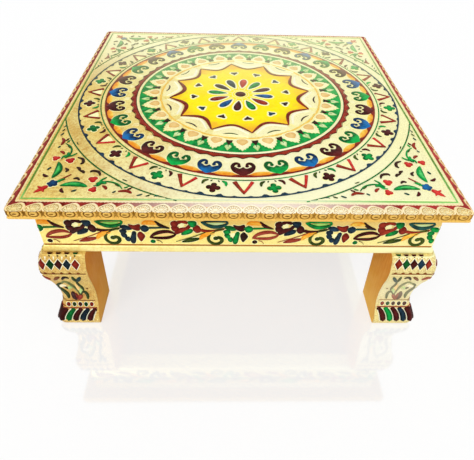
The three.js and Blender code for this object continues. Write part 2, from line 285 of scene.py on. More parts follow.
# Painted highlights on the gold and enamel: sheen at the rear, the front and the right leg's neck, and glare
# at the front edge, each as its middle and reach in metres
REAR_SHEEN = ((0.03, 0.18, 0.136), (0.4, 0.19, 0.06))
FRONT_GLARE = ((0.025, -0.13, 0.136), (0.15, 0.085, 0.06))
FRONT_EDGE_GLARE = ((0.01, -0.155, 0.13), (0.16, 0.06, 0.06))
RIGHT_NECK_SHEEN = ((0.125, -0.135, 0.043), (0.06, 0.06, 0.025))
# The area at the front left where the gold is speckled darker
LEFT_CORNER = ((-0.135, -0.11, 0), (0.15, 0.15, 0))
# Painted side shade and light: how much warmer the gold is painted at the left than at the right, and how
# much paler it is painted at the right
PAINTED_SHADE_TILTS = {"top": (0.3, -0.2), "leg": (0.18, -0.24), "apron": (0.14, -0.14), "mould": (0.34, -0.3)}
PAINTED_LIGHT_PALER = {"top": 0.75, "leg": 0.3, "apron": 0.3, "mould": 0.8}


def gold_material(name, pale=PALE, warm=WARM, deep=DEEP, warmth=0.5, stipple=0.5, place="", metal=0.25):
    """Embossed gold sheet: broad tint, fine hammer marks and darker hollows between them; by place it also
    gets painted shade and painted highlights.
    """
    sheet = Shader(name)
    fine = sheet.noise(560, 4, 0.65)
    dots = sheet.cells(820, 0.7)
    broad = sheet.sums("MULTIPLY", sheet.noise(38, 4, 0.6, 0.4), 0.75)
    tone = sheet.sums("ADD", broad, sheet.sums("MULTIPLY", fine, 0.6))
    color = srgb(*pale)
    if place in PAINTED_SHADE_TILTS:
        # Painted shade: the tone rises toward the left, so the gold turns warmer and darker there
        tone = sheet.sums("ADD", tone, sheet.scaled(sheet.axis("X"), -0.15, 0.12, *PAINTED_SHADE_TILTS[place]))
        # Painted light: the gold is blended paler toward the right
        paler = sheet.scaled(sheet.axis("X"), -0.02, 0.14, 0.0, PAINTED_LIGHT_PALER[place])
        color = sheet.blend(paler, color, srgb(254, 253, 200))
    color = sheet.blend(sheet.scaled(tone, 0.94 - warmth * 0.5, 1.26 - warmth * 0.5), color, srgb(*warm))
    # Painted shade under the board's overhang, partly an orange tint: the apron's gold turns orange toward
    # its top
    if place == "apron":
        upper = sheet.scaled(sheet.axis("Z"), 0.1, 0.12, 0.0, 0.8)
        color = sheet.blend(upper, color, srgb(238, 184, 80))
    color = sheet.blend(sheet.scaled(dots, 0.42, 0.75, 0.0, 0.5 * stipple), color, srgb(*deep))
    # Painted highlights: pale patches at the edge's front, the right leg's neck, and the top's front and rear
    if place == "edge":
        color = sheet.painted_highlight(color, FRONT_EDGE_GLARE, 0.0, 0.8, 0.75, (253, 249, 228))
    if place == "leg":
        color = sheet.painted_highlight(color, RIGHT_NECK_SHEEN, 0.0, 0.6, 0.54, (254, 248, 208))
    if place == "top":
        color = sheet.painted_highlight(color, FRONT_GLARE, 0.0, 0.7, 0.75, (253, 252, 216))
        color = sheet.painted_highlight(color, REAR_SHEEN, 0.0, 0.5, 1.0, SHEEN_CREAM)
        speck = sheet.scaled(sheet.noise(330, 4, 0.7), 0.5, 0.66, 0.0, 0.9)
        dark = sheet.sums("MULTIPLY", sheet.patch(*LEFT_CORNER), speck)
        color = sheet.blend(dark, color, srgb(196, 146, 58))
    grain = sheet.bump(dots, stipple, 0.0004)
    wave = sheet.bump(sheet.noise(90, 2), 0.25, 0.0012, Normal=grain)
    rough = sheet.scaled(fine, 0.3, 0.7, 0.26, 0.44)
    return sheet.set(Base_Color=color, Metallic=metal, Roughness=rough, Normal=wave, Specular_IOR_Level=0.14)


def enamel_material(name, first, light, cloudy=None, sheen=0.0, glare=0.0):
    """Glassy enamel, with the mark called tone running from its first colour to its light one; the mark
    carries painted shade and highlights, and the colour gets painted side light and painted highlight
    patches.
    """
    glass = Shader(name)
    cloud = glass.noise(190, 3, 0.55, 0.6)
    # Painted side light: the enamel's tone rises toward the right, so it is lighter there
    side_light = glass.scaled(glass.axis("X"), -0.15, 0.15, -0.1, 0.1)
    tone = glass.sums("ADD", glass.sums("MULTIPLY_ADD", glass.mark("tone"), 0.2, cloud), side_light)
    color = glass.blend(glass.scaled(tone, 0.28, 0.78), srgb(*first), srgb(*light))
    if cloudy:
        color = glass.blend(glass.scaled(glass.noise(70, 2), 0.45, 0.7, 0, 0.6), color, srgb(*cloudy))
    # Painted highlights: the enamel turns pale at the rear, at the right leg's neck and along the front edge
    if sheen:
        color = glass.painted_highlight(color, REAR_SHEEN, 0.0, 1.0, sheen, SHEEN_CREAM)
        color = glass.painted_highlight(color, RIGHT_NECK_SHEEN, 0.0, 0.7, 0.25, (246, 234, 196))
    if glare:
        color = glass.painted_highlight(color, FRONT_EDGE_GLARE, 0.4, 0.85, glare, (253, 244, 226))
    return glass.set(
        Base_Color=color, Roughness=glass.scaled(cloud, 0.3, 0.7, 0.2, 0.36),
        Normal=glass.bump(glass.noise(700, 2), 0.12, 0.0004), Specular_IOR_Level=0.05,
        Coat_Weight=0.02, Coat_Roughness=0.08,
    )


def wood_material():
    wood = Shader("raw_wood_look")
    grain = wood.noise(6, 5, 0.6, 1.2, wood.stretched((18, 18, 160)))
    speck = wood.noise(300, 3)
    streak = wood.sums("MULTIPLY_ADD", speck, 0.3, grain)
    color = wood.ramp(streak, [(0.35, srgb(168, 120, 72)), (0.95, srgb(214, 176, 124))])
    rough = wood.scaled(speck, 0.3, 0.7, 0.42, 0.62)
    return wood.set(Base_Color=color, Roughness=rough, Normal=wood.bump(grain, 0.3, 0.0006),
                    Specular_IOR_Level=0.3)


def painted_leg_material():
    paint = Shader("painted_leg")
    cloud = paint.noise(40, 4, 0.6)
    # Painted shade: the inner faces turn from golden at the foot to darker orange-brown toward the top, under
    # the apron
    share = paint.scaled(paint.sums("MULTIPLY_ADD", cloud, 0.03, paint.axis("Z")), 0.01, 0.09)
    levels = [(0.0, srgb(238, 190, 84)), (0.5, srgb(222, 154, 46)), (1.0, srgb(206, 126, 24))]
    color = paint.ramp(share, levels)
    streak = paint.noise(12, 5, 0.6, 0.5, paint.stretched((40, 40, 6)))
    color = paint.blend(paint.scaled(streak, 0.4, 0.75, 0, 0.3), color, srgb(244, 202, 100))
    # Painted shade: the paint is darker toward the left
    color = paint.blend(paint.scaled(paint.axis("X"), -0.12, 0.1, 0.45, 0.0), color, srgb(186, 114, 28))
    rough = paint.scaled(cloud, 0.3, 0.7, 0.38, 0.55)
    return paint.set(Base_Color=color, Roughness=rough, Normal=paint.bump(streak, 0.2, 0.0005),
                     Specular_IOR_Level=0.1)


def steel_material():
    steel = Shader("screw_metal")
    rough = steel.scaled(steel.noise(900, 2), 0.3, 0.7, 0.25, 0.45)
    color = steel.ramp(steel.noise(260, 3), [(0.3, srgb(150, 152, 156)), (0.7, srgb(196, 198, 200))])
    return steel.set(Base_Color=color, Metallic=0.9, Roughness=rough)


def dress_frame():
    raw = wood_material()
    painted = painted_leg_material()
    steel = steel_material()
    gold = gold_material("apron_gold", (253, 236, 138), (240, 200, 92), DEEP, 0.4, 0.3, "apron")
    for name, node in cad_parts.items():
        if "screw" in name:
            look = steel
        elif name.startswith(("top_board", "apron_board", "cleat")):
            look = raw
        elif name.startswith("leg_") and not name.startswith("leg_sheet"):
            look = painted
        else:
            look = gold
        if not node.material_slots:
            node.data.materials.append(look)
        for slot in node.material_slots:
            slot.material = look


# Shapes on a face: points are (along, across, height), and each shape is closed

def circle(radius, count=22, middle=(0, 0)):
    turn = np.arange(count) * 2 * np.pi / count
    return np.stack([middle[0] + radius * np.cos(turn), middle[1] + radius * np.sin(turn)], 1)


def oval(wide, high, count=22, middle=(0, 0)):
    return circle(1, count) * [wide / 2, high / 2] + middle


def teardrop(length, width, power=0.9, count=26):
    turn = np.arange(count) * 2 * np.pi / count
    across = np.sin(turn) * np.sin(turn / 2) ** power
    across = across / across.max() * width / 2
    return np.stack([across, length * (1 - np.cos(turn)) / 2], 1)


def lobed(inner, outer, lobes, turn=0.0, power=0.7, spot=(0, 0), count=40):
    """A flower outline whose radius swings between two sizes."""
    angle = np.arange(count) * 2 * np.pi / count
    radius = inner + (outer - inner) * np.abs(np.cos(lobes / 2 * (angle - math.radians(turn)))) ** power
    return np.stack([spot[0] + radius * np.cos(angle), spot[1] + radius * np.sin(angle)], 1)


def smooth(points, steps=4, closed=False):
    """A Catmull-Rom curve through the points."""
    points = np.array(points, float)
    count = len(points)
    out = []
    for i in range(count if closed else count - 1):
        near = [i + k for k in (-1, 0, 1, 2)]
        near = [k % count if closed else min(max(k, 0), count - 1) for k in near]
        a, b, c, d = points[near]
        bend = (c - a) * 0.5, (d - b) * 0.5
        for step in range(steps):
            t = step / steps
            out.append((2 * b - 2 * c + bend[0] + bend[1]) * t ** 3
                       + (-3 * b + 3 * c - 2 * bend[0] - bend[1]) * t ** 2 + bend[0] * t + b)
    if not closed:
        out.append(points[-1])
    return np.array(out)


def mirrored(right_side, steps=0):
    """A closed outline from points on the right, the first and last of them on the middle line."""
    right = np.array(right_side, float)
    left = right[1:-1][::-1] * [-1, 1]
    outline = np.concatenate([right, left])
    return smooth(outline, steps, True) if steps else outline


def grow(outline, amount):
    """The outline moved outward everywhere."""
    outline = np.asarray(outline, float)
    way = np.roll(outline, -1, 0) - np.roll(outline, 1, 0)
    way /= np.maximum(np.linalg.norm(way, axis=1, keepdims=True), 1e-9)
    turned = np.stack([way[:, 1], -way[:, 0]], 1)
    area = np.sum(outline[:, 0] * np.roll(outline[:, 1], -1) - np.roll(outline[:, 0], -1) * outline[:, 1])
    return outline + turned * amount * (1 if area > 0 else -1)


def dome(outline, low=-0.2, edge=0.3, crown=0.6, centre=None, rings=(0.93, 0.7, 0.36)):
    """A closed cell with a crowned top over an outline that its centre can see all of."""
    outline = np.asarray(outline, float)
    count = len(outline)
    centre = outline.mean(0) if centre is None else np.asarray(centre, float)
    layers = [(1.0, low), (1.0, edge)]
    layers += [(share, edge + (crown - edge) * (1 - share ** 2) ** 0.5) for share in rings]
    points = []
    for share, height in layers:
        ring = centre + (outline - centre) * share
        points.append(np.column_stack([ring, np.full(count, height)]))
    points.append(np.array([[*centre, low], [*centre, crown]]))
    foot, head = len(layers) * count, len(layers) * count + 1
    last = (len(layers) - 1) * count
    faces = []
    for i in range(count):
        j = (i + 1) % count
        for a in range(0, last, count):
            faces.append((a + i, a + j, a + count + j, a + count + i))
        faces.append((foot, j, i))
        faces.append((head, last + i, last + j))
    return np.concatenate(points), faces


def loft_faces(count, wide, closed=False):
    """Faces between neighbouring rows of points, with end caps where the rows don't close."""
    faces = []
    for i in range(count if closed else count - 1):
        a, b = i * wide, ((i + 1) % count) * wide
        for k in range(wide):
            m = (k + 1) % wide
            faces.append((a + k, a + m, b + m, b + k))
    if not closed:
        faces.append(tuple(range(wide))[::-1])
        faces.append(tuple((count - 1) * wide + k for k in range(wide)))
    return faces


def ribbon(spine, left, right=None, low=-0.2, edge=0.15, crown=0.35, closed=False, across=5):
    """A closed strip along a line, with half widths on its two sides."""
    spine = np.asarray(spine, float)
    count = len(spine)
    left = np.broadcast_to(np.asarray(left, float), (count,))
    right = left if right is None else np.broadcast_to(np.asarray(right, float), (count,))
    way = np.roll(spine, -1, 0) - np.roll(spine, 1, 0) if closed else np.gradient(spine, axis=0)
    way = way / np.maximum(np.linalg.norm(way, axis=1, keepdims=True), 1e-9)
    side = np.stack([-way[:, 1], way[:, 0]], 1)
    crowned = [(share, edge + (crown - edge) * (1 - share * share)) for share in np.linspace(-1, 1, across)]
    points = []
    for share, height in [(-1.0, low), *crowned, (1.0, low)]:
        width = np.where(share < 0, -left * abs(share), right * share)
        place = spine + side * width[:, None]
        points.append(np.column_stack([place, np.full(count, height)]))
    faces = loft_faces(count, len(points), closed)
    return np.stack(points, 1).reshape(-1, 3), faces


def leaf(spine, width, power=0.8, **kinds):
    """A ribbon that swells from one end and tapers to the other."""
    line = smooth(spine, 5)
    share = np.linspace(0, 1, len(line))
    return ribbon(line, width / 2 * np.sin(np.pi * share) ** power + 0.02 * width, **kinds)


def taper(spine, first, last, **kinds):
    line = smooth(spine, 5)
    return ribbon(line, np.linspace(first / 2, last / 2, len(line)), **kinds)


def rim(outline, half=0.45, crown=0.5, outward=0.0):
    outline = grow(outline, outward) if outward else outline
    return ribbon(outline, half, edge=0.1, crown=crown, closed=True, across=3)


# Placing on a face

def at(x, y, degrees=0.0):
    turn = math.radians(degrees)
    c, s = math.cos(turn), math.sin(turn)

    def place(spots):
        u, v = spots[:, 0], spots[:, 1]
        return np.stack([x + u * c - v * s, y + u * s + v * c], 1)
    return place


def around(radius, degrees):
    """Round the middle of the top: zero degrees is the front, v points outward."""
    turn = math.radians(degrees)
    c, s = math.cos(turn), math.sin(turn)

    def place(spots):
        u, v = spots[:, 0], spots[:, 1] + radius
        return np.stack([MIDDLE[0] + v * s + u * c, MIDDLE[1] + (u * s - v * c) * LONG], 1)
    return place


def polar(radius, degrees, middle=MIDDLE):
    turn = np.radians(np.atleast_1d(degrees))
    return np.stack([middle[0] + radius * np.sin(turn), middle[1] - radius * np.cos(turn) * LONG], 1)


def on_top(spots):
    return spots + [0, 0, TOP]


def quarter(spots, turns):
    for _ in range(turns):
        spots = np.stack([-spots[:, 1], spots[:, 0], spots[:, 2]], 1)
    return spots


def on_side(turns):
    def surface(spots):
        return quarter(spots, turns)
    return surface


def on_apron(turns):
    def surface(spots):
        return quarter(np.stack([spots[:, 0], -APRON_FACE - spots[:, 2], spots[:, 1]], 1), turns)
    return surface


def edge_profile():
    """Inset, level and outward direction along the board's edge, from its underside to the top."""
    turn = np.linspace(0, np.pi / 2, 24)
    inset = np.concatenate([[0], ROUND_WIDE - ROUND_WIDE * np.cos(turn), [30]])
    level = np.concatenate([[EDGE_LOW], TOP - ROUND_HIGH + ROUND_HIGH * np.sin(turn), [TOP]])
    out = np.concatenate([[1], np.cos(turn) / ROUND_WIDE, [0]])
    up = np.concatenate([[0], np.sin(turn) / ROUND_HIGH, [1]])
    size = np.hypot(out, up)
    run = np.concatenate([[0], np.cumsum(np.hypot(np.diff(inset), np.diff(level)))])
    return run, inset, level, out / size, up / size


PROFILE = edge_profile()
STRAIGHT = HALF - CORNER
SIDE_RUN = 2 * STRAIGHT + CORNER * np.pi / 2


def on_edge(turns):
    """Spots are (distance along the edge, distance up and over it, height)."""
    run, inset, level, out, up = PROFILE

    def surface(spots):
        s, t, h = spots.T
        reach = HALF - CORNER - np.interp(t, run, inset) + h * np.interp(t, run, out)
        z = np.interp(t, run, level) + h * np.interp(t, run, up)
        over = np.maximum(np.abs(s) - STRAIGHT, 0) / CORNER
        straight = np.clip(s / STRAIGHT, -1, 1) * reach
        x = straight + np.sign(s) * CORNER * np.sin(over)
        y = -reach - CORNER * np.cos(over)
        return quarter(np.stack([x, y, z], 1), turns)
    return surface


def leg_curve():
    fine = smooth(LEG_SHARES, 24)
    return np.maximum.accumulate(fine[:, 0]) * LEG_HIGH, NECK_FACE - KNEE_REACH * fine[:, 1] - SKIN


LEG_LEVELS, LEG_INSETS = leg_curve()


def leg_inset(z):
    return np.interp(z, LEG_LEVELS, LEG_INSETS)


def leg_back(z):
    return LEG_BACK - LEG_TAPER * (1 - z / LEG_HIGH)


def on_leg(turns, mirror):
    """Spots are (distance from the table's corner along the face, level, height)."""
    def surface(spots):
        a, z, h = spots.T
        over = np.maximum(z - LEG_HIGH + 0.1, 0)
        z = z - over
        inset = leg_inset(z) + over
        slope = (leg_inset(z + 0.5) - leg_inset(z - 0.5))
        size = np.sqrt(1 + slope ** 2)
        z = z + h * slope / size
        ledge = np.clip(over / 0.5, 0, 1)
        z = z + ledge * (0.25 + h)
        h = h * (1 - ledge)
        short = np.clip((inset + LEG_ROUND - a) / LEG_ROUND, 0, 1.3)
        angle = short * np.pi / 2 * 0.8
        reach = LEG_ROUND + h / size
        along = np.where(short > 0, inset + LEG_ROUND - reach * np.sin(angle), a)
        depth = inset + LEG_ROUND - reach * np.cos(angle)
        x, y = (depth, along) if mirror else (along, depth)
        return quarter(np.stack([x - HALF, y - HALF, z], 1), turns)
    return surface


# Pieces

class Piece:
    """Gathers shapes into one object."""

    def __init__(self, name):
        self.name = name
        self.points = []
        self.faces = []
        self.tones_and_shades = []
        self.count = 0
        # The default tone starts deeper on the aprons, and deeper still on the legs and edge, than on the top
        self.deep = {"top": -0.9, "apr": -1.6}.get(name[:3], -1.8)

    def add(self, shape, place=None, surface=on_top, tone=None):
        """Where none is given, the tone is a random shift plus painted shading: deep at the shape's edge,
        with a painted highlight on its crown.
        """
        points, faces = shape
        if tone is None:
            height = points[:, 2]
            share = np.clip((height - height.min()) / np.ptp(height) * 2.5 - 1.5, 0, 1)
            tone = rng.uniform(-0.4, 0.3) + self.deep + 1.6 * share ** 2
        if place is not None:
            points = np.column_stack([place(points[:, :2]), points[:, 2]])
        points = surface(points)
        corners = np.array([(face + face[-1:])[:4] for face in faces]).T
        a, b, c, d = (points - points.mean(0))[corners]
        volume = np.sum(a * (np.cross(b, c) + np.cross(c, d)))
        for face in faces:
            turned = face[::-1] if volume < 0 else face
            self.faces.append(tuple(corner + self.count for corner in turned))
        self.points.append(points)
        self.tones_and_shades.append(np.broadcast_to(tone, (len(points),)))
        self.count += len(points)

    def build(self, material, slot, replaced=()):
        mesh = bpy.data.meshes.new(self.name)
        mesh.from_pydata(np.concatenate(self.points) * MM, [], self.faces)
        tone = mesh.attributes.new("tone", "FLOAT", "POINT")
        tone.data.foreach_set("value", np.concatenate(self.tones_and_shades))
        mesh.materials.append(material)
        mesh.polygons.foreach_set("use_smooth", [True] * len(mesh.polygons))
        mesh.set_sharp_from_angle(angle=math.radians(50))
        piece = add_object(self.name, mesh)
        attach(piece, "root")
        if replaced:
            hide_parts(*replaced)


PIECES = {}


def piece(name):
    if name not in PIECES:
        PIECES[name] = Piece(name)
    return PIECES[name]


def lay(kind, shape, place=None, tone=None):
    """Adds a shape to one of the top's pieces."""
    piece("top_" + kind).add(shape, place, tone=tone)


def paint(color, shape, place=None, tone=None):
    """Adds a shape to the top's enamel of a colour."""
    lay("enamel_" + color, shape, place, tone)


def glow(outline, place, reach=0.6, kind="glow", edge=0.14, **kinds):
    """The pale line that stands round an enamelled shape."""
    lay(kind, dome(grow(outline, reach), edge=edge, crown=edge + 0.02, **kinds), place, 0)


# Pattern of the top

PETAL_COLORS = ("maroon", "green", "redbrown", "blue", "maroon", "green", "red", "navy", "black", "green",
                "redbrown", "blue")
ARC_WEIGHTS = (0.55, 0.7, 0.8, 0.9, 0.85, 0.7, 0.35, 0.35, 0.7, 1.1, 1.05, 0.95)
ARC_TURN = 360 / PETALS
FIRST_PETAL = -ARC_TURN / 4


def top_sheet():
    """The sheet on the board: slightly uneven, with the patterns standing on it."""
    steps = 96
    reach = HALF - ROUND_WIDE - 0.25
    line = np.linspace(-reach, reach, steps + 1)
    x, y = np.meshgrid(line, line)
    wave = 0.03 * (np.sin(x / 13.0 + 1.3 * np.sin(y / 17.0)) + np.cos(y / 11.0 + np.sin(x / 19.0)))
    points = np.stack([x.ravel(), y.ravel(), (wave - 0.05).ravel()], 1)
    under = points.copy()
    under[:, 2] = -0.35
    wide = steps + 1
    count = wide ** 2
    faces = []
    for row in range(steps):
        for column in range(steps):
            a = row * wide + column
            faces.append((a, a + 1, a + wide + 1, a + wide))
            faces.append((count + a, count + a + wide, count + a + wide + 1, count + a + 1))
    loop = [k for k in range(steps)] + [k * wide + steps for k in range(steps)]
    loop += [count - 1 - k for k in range(steps)] + [(steps - k) * wide for k in range(steps)]
    for here, there in zip(loop, loop[1:] + loop[:1]):
        faces.append((here, here + count, there + count, there))
    lay("sheet_embossed", (np.concatenate([points, under]), faces), tone=0)


def scallop(degrees):
    """Radius of the twelve-lobed outline at an angle from the front."""
    return SCALLOP_REACH - SCALLOP_DIP * np.abs(np.sin(np.radians(6 * (degrees + FIRST_PETAL))))


def from_middle(shape):
    """How far each point of a shape is from the middle of the rings."""
    return np.hypot(*(shape[0][:, :2] - MIDDLE).T)


def top_centre():
    turn = np.arange(0, 360, 1.25)
    rings = (0.99, 0.93, 0.85, 0.75, 0.5, 0.25)
    field = dome(polar(scallop(turn), turn), edge=0.08, crown=0.12, centre=MIDDLE, rings=rings)
    paint("yellow", field, tone=np.interp(from_middle(field), [40, 50, 60], [-1.8, -0.8, 1.8]))
    middle = at(*MIDDLE)
    paint("maroon", dome(circle(4.6, 28), edge=0.35), middle)
    for radius, half, crown in ((5.3, 0.55, 0.5), (7.6, 0.5, 0.4)):
        lay("ribs", rim(circle(radius, 44), half, crown), middle)
    seed = teardrop(17.4, 6.6, 0.9)
    drop = mirrored([(0, -3.0), (1.5, -0.9), (3.1, 0.6), (3.3, 1.9), (2.2, 2.7), (0, 2.4)], 3)
    for k in range(PETALS):
        place = around(SEED_REACH, FIRST_PETAL + ARC_TURN * k)
        glow(seed, place, 1.5, edge=0.15, centre=(0, 11))
        glow(seed, place, 0.5, "pale", 0.22, centre=(0, 11))
        paint(PETAL_COLORS[k], dome(seed, centre=(0, 12)), place)
        between = ARC_TURN * k - FIRST_PETAL
        lay("ribs", leaf([(0, 0), (0, 3), (0, 6)], 1.1, across=3), around(8.4, between))
        place = around(DROP_REACH, between)
        glow(drop, place, 1.5, edge=0.15, centre=(0, 0.4))
        glow(drop, place, 0.45, "pale", 0.22, centre=(0, 0.4))
        paint("navy" if k % 3 == 1 else "black", dome(drop, crown=0.45, centre=(0, 0.4)), place)


def top_arcs():
    share = np.linspace(-1, 1, 21)
    crest = 1 - share ** 2
    for k in range(PETALS):
        middle = FIRST_PETAL + ARC_TURN * k
        turn = middle + ARC_TURN / 2 * share
        petal = np.concatenate([polar(scallop(turn) + 0.6, turn)[1:-1], polar(70.6, turn)[::-1][2:-2]])
        lay("petals", dome(petal, edge=0.25, crown=0.7, centre=polar(62.5, middle)[0]))
        swell = (1 - np.abs(share) ** 2.4) * 1.55 * ARC_WEIGHTS[k] + 0.25
        line = polar(scallop(turn) - 0.5, turn)
        paint("redbrown", ribbon(line, 0.5, swell * 1.7, edge=0.3, crown=0.55), tone=-0.6)
        ridge = polar(scallop(middle + 14 * share) + 3.1, middle + 12.4 * share)
        lay("pale", ribbon(ridge, 1.5 * crest ** 0.4 + 0.1, low=0, edge=0.35, crown=1.05), tone=1)
        line = polar(ARC_REACH - 3.4 * crest, middle + 11.5 * share)
        lay("ribs", ribbon(line, 0.4, low=0, edge=0.4, crown=0.8, across=3))
        line = polar(66.2 + 1.9 * share ** 2, middle + 5.2 * share)
        stroke = ribbon(line, 0.85 * crest ** 0.6 + 0.05, low=0, edge=0.6, crown=0.85, across=3)
        paint("olive" if k < 2 or 4 < k < 9 else "black", stroke)


def lotus_ring():
    turn = np.arange(0, 360, 2.5)
    field = ribbon(polar(LOTUS_MIDDLE, turn), 7.9, edge=0.08, crown=0.12, closed=True)
    paint("green", field, tone=0.4)
    paint("amber", rim(polar(LOTUS_FOOT - 0.6, turn), 0.9, 0.5), tone=0)
    lay("ribs", rim(polar(LOTUS_FOOT + 1, turn), 0.6, 0.42))
    petal = mirrored([(0, 16.4), (1.1, 14.0), (2.3, 14.4), (3.0, 12.2), (4.3, 12.0), (4.9, 9.8), (6.2, 9.0),
                      (6.5, 6.6), (7.5, 5.2), (7.5, 2.6), (5.4, 0.6), (3, 0), (0, 0)], 2)
    heart = mirrored([(0, 10.4), (2.2, 8.8), (4.2, 6.6), (4.6, 4.0), (3.2, 1.8), (0, 1.2)], 2)
    triangle = mirrored([(0, 7.4), (1.3, 4.2), (3.5, 0.9), (3.3, 0), (0, 0.6)])
    drop = mirrored([(0, 7.6), (1.1, 5.6), (2.5, 3.4), (2.5, 1.6), (1.3, 0.2), (0, 0.6)], 2)
    for k in range(LOTUSES):
        turn = 360 / LOTUSES * k
        between = turn + 180 / LOTUSES
        place = around(LOTUS_FOOT, turn)
        lay("petals", dome(petal, crown=0.75, centre=(0, 6)), place)
        lay("ribs", rim(petal, 0.3, 0.5), place)
        lay("pale", rim(heart, 0.35, 1.0), place, 0.4)
        paint("tan", dome(heart, low=0.2, edge=0.7, crown=1.0, centre=(0, 5)), place)
        paint("black", dome(triangle, crown=0.5, centre=(0, 1.6)), around(LOTUS_FOOT + 2.4, between))
        place = around(LOTUS_FOOT + 9, between)
        paint("palegreen", dome(drop, crown=0.6, centre=(0, 2.8)), place)
        paint("green", leaf([(0, 3.4), (0, 2), (0, 0.8)], 1.0, low=0.3, edge=0.5, crown=0.66), place)


def tooth_rings():
    turn = np.arange(0, 360, 360 / (TEETH * 8))
    tooth = np.abs(2 * ((turn * TEETH / 360) % 1) - 1) ** 1.4
    plain = ribbon(polar(PLAIN_REACH, turn), 1.15, edge=0.25, crown=0.75, closed=True)
    lay("petals", plain, tone=0.5)
    paint("maroon", rim(polar(PLAIN_REACH + 1.6, turn), 0.4, 0.55), tone=-1)
    band = ribbon(polar(TOOTH_REACH, turn), 1.3 + 2.1 * tooth, 1.2, edge=0.2, crown=0.42, closed=True)
    paint("redbrown", band, tone=0.1)
    line = polar(TOOTH_REACH + 1.9 * (1 + tooth), turn)
    paint("maroon", ribbon(line, 0.2, edge=0.25, crown=0.45, closed=True, across=3), tone=-1)


MANGO_RUN = "MGBMGBMGBMGBMGB" + "MGBMGMBMGBMGB"
MANGO_COLORS = {"M": "maroon", "G": "green", "B": "blue"}


def mango(place, color):
    body = mirrored([(0, 16.0), (1.8, 14.6), (4.4, 13.1), (6.9, 11.0), (8.4, 8.3), (8.7, 5.6), (7.6, 4.6),
                     (6.0, 5.6), (4.2, 7.3), (1.8, 7.0), (0, 5.2)], 2)
    shape = dome(body, edge=0.35, crown=0.95, centre=(0, 10.2))
    # Painted highlight: the mango's enamel turns lighter toward its tip
    paint(color, shape, place, np.interp(shape[0][:, 1], [5, 9, 13], [-1.6, -0.2, 1.5]))
    glow(body, place, 0.7, centre=(0, 10.2))
    for side in (-1, 1):
        hook = [(7.2, 7.6), (7.7, 4.6), (6.6, 2.0), (4.7, 1.0), (3.1, 1.9), (2.9, 3.4)]
        hook = smooth([(x * side, y) for x, y in hook], 4)
        width = np.interp(np.linspace(0, 1, len(hook)), [0, 0.5, 0.8, 1], [1.4, 1.5, 1.15, 0.8])
        lay("glow", ribbon(hook, width + 0.65, edge=0.14, crown=0.16), place, 0)
        paint(color, ribbon(hook, width, edge=0.33, crown=0.8), place, -1.3)
        paint(color, dome(circle(1.35, 14, (2.9 * side, 4.0)), edge=0.33, crown=0.75), place, -1.3)


def mango_band():
    share = np.linspace(-1, 1, 17)
    step = 360 / MANGOES
    bud = mirrored([(0, 6.4), (2.2, 4.6), (2.9, 2.4), (1.6, 0.8), (0, 0)])
    for k in range(MANGOES):
        mango(around(MANGO_FOOT, step * k), MANGO_COLORS[MANGO_RUN[k]])
        line = polar(MANGO_HEAD - 0.9, step * (k + 0.5) + 5.6 * share)
        arch = ribbon(line, 0.8, 4.2 * np.maximum(1 - share ** 2, 0) ** 0.8 + 0.05, edge=0.1, crown=0.2)
        paint("orange", arch, tone=np.interp(from_middle(arch), [114, 119], [1.5, -1.5]))
        lay("petals", dome(bud, edge=0.12, crown=0.35), around(MANGO_FOOT - 5, step * (k + 0.5)))
    turn = np.arange(0, 360, 0.75)
    apart = np.abs((turn / step + 0.5) % 1 - 0.5) * 2
    side = 0.55 + 0.45 * np.abs(np.sin(np.radians(turn)))
    swell = 0.6 + 2.3 * np.exp(-((apart - 0.3) / 0.22) ** 2) * side
    border = ribbon(polar(MANGO_HEAD, turn), 0.7, swell, edge=0.26, crown=0.5, closed=True)
    paint("redbrown", border, tone=-0.7)
    lay("ribs", rim(polar(MANGO_HEAD + 2, turn), 0.9, 0.5))
    paint("green", rim(polar(MANGO_HEAD + 4, turn), 0.5, 0.35), tone=-0.5)


def flower_band():
    clover = lobed(2.5, 5.1, 4)
    filling = mirrored([(0, 9.5), (2.2, 5.8), (4.6, 1.2), (0, 0.6)])
    step = 360 / FLOWERS
    for k in range(FLOWERS):
        front = math.cos(math.radians(step * k)) > 0.5
        place = around(FLOWER_FOOT, step * k)
        lay("glow", dome(filling, edge=0.1, crown=0.2, centre=(0, 3)), place, 0)
        for side, wide in ((-1, 3.0), (1, 2.2)):
            leg = taper([(6.3 * side, 0.3), (3.7 * side, 5.4), (0.35 * side, 11.6)], wide * 1.15, 1.7,
                        edge=0.25, crown=0.5)
            paint("red" if front and side > 0 else "redbrown", leg, place)
        paint("redbrown", leaf([(0, 9.4), (0, 11.4), (0, 13.2)], 2.0, edge=0.25, crown=0.5), place)
        place = around(FLOWER_REACH, step * (k + 0.5))
        main, other = ("maroon", "green") if k % 2 else ("green", "maroon")
        glow(clover, place, 0.8)
        paint(main, dome(clover, edge=0.3, crown=0.75), place)
        for side in (-1, 1):
            comma = [(4.6 * side, -8.0), (7.6 * side, -6.4), (8.4 * side, -2.8)]
            paint("olive" if side < 0 else other, leaf(comma, 2.2, 0.7, edge=0.25, crown=0.45), place)
            comma = [(2.0 * side, -8.2), (3.2 * side, -6.6)]
            paint("olive", leaf(comma, 1.0, 0.7, edge=0.2, crown=0.35), place)
    turn = np.arange(0, 360, 0.75)
    apart = np.abs((turn / step) % 1 - 0.5) * step
    swell = 0.6 + 2.4 * np.exp(-((apart - 2.7) / 0.75) ** 2) + 0.9 * np.exp(-((apart - 6.8) / 0.6) ** 2)
    line = polar(WAVE_REACH, turn, FLOWER_MIDDLE)
    paint("navy", ribbon(line, 0.6, swell, edge=0.26, crown=0.48, closed=True), tone=0.4)


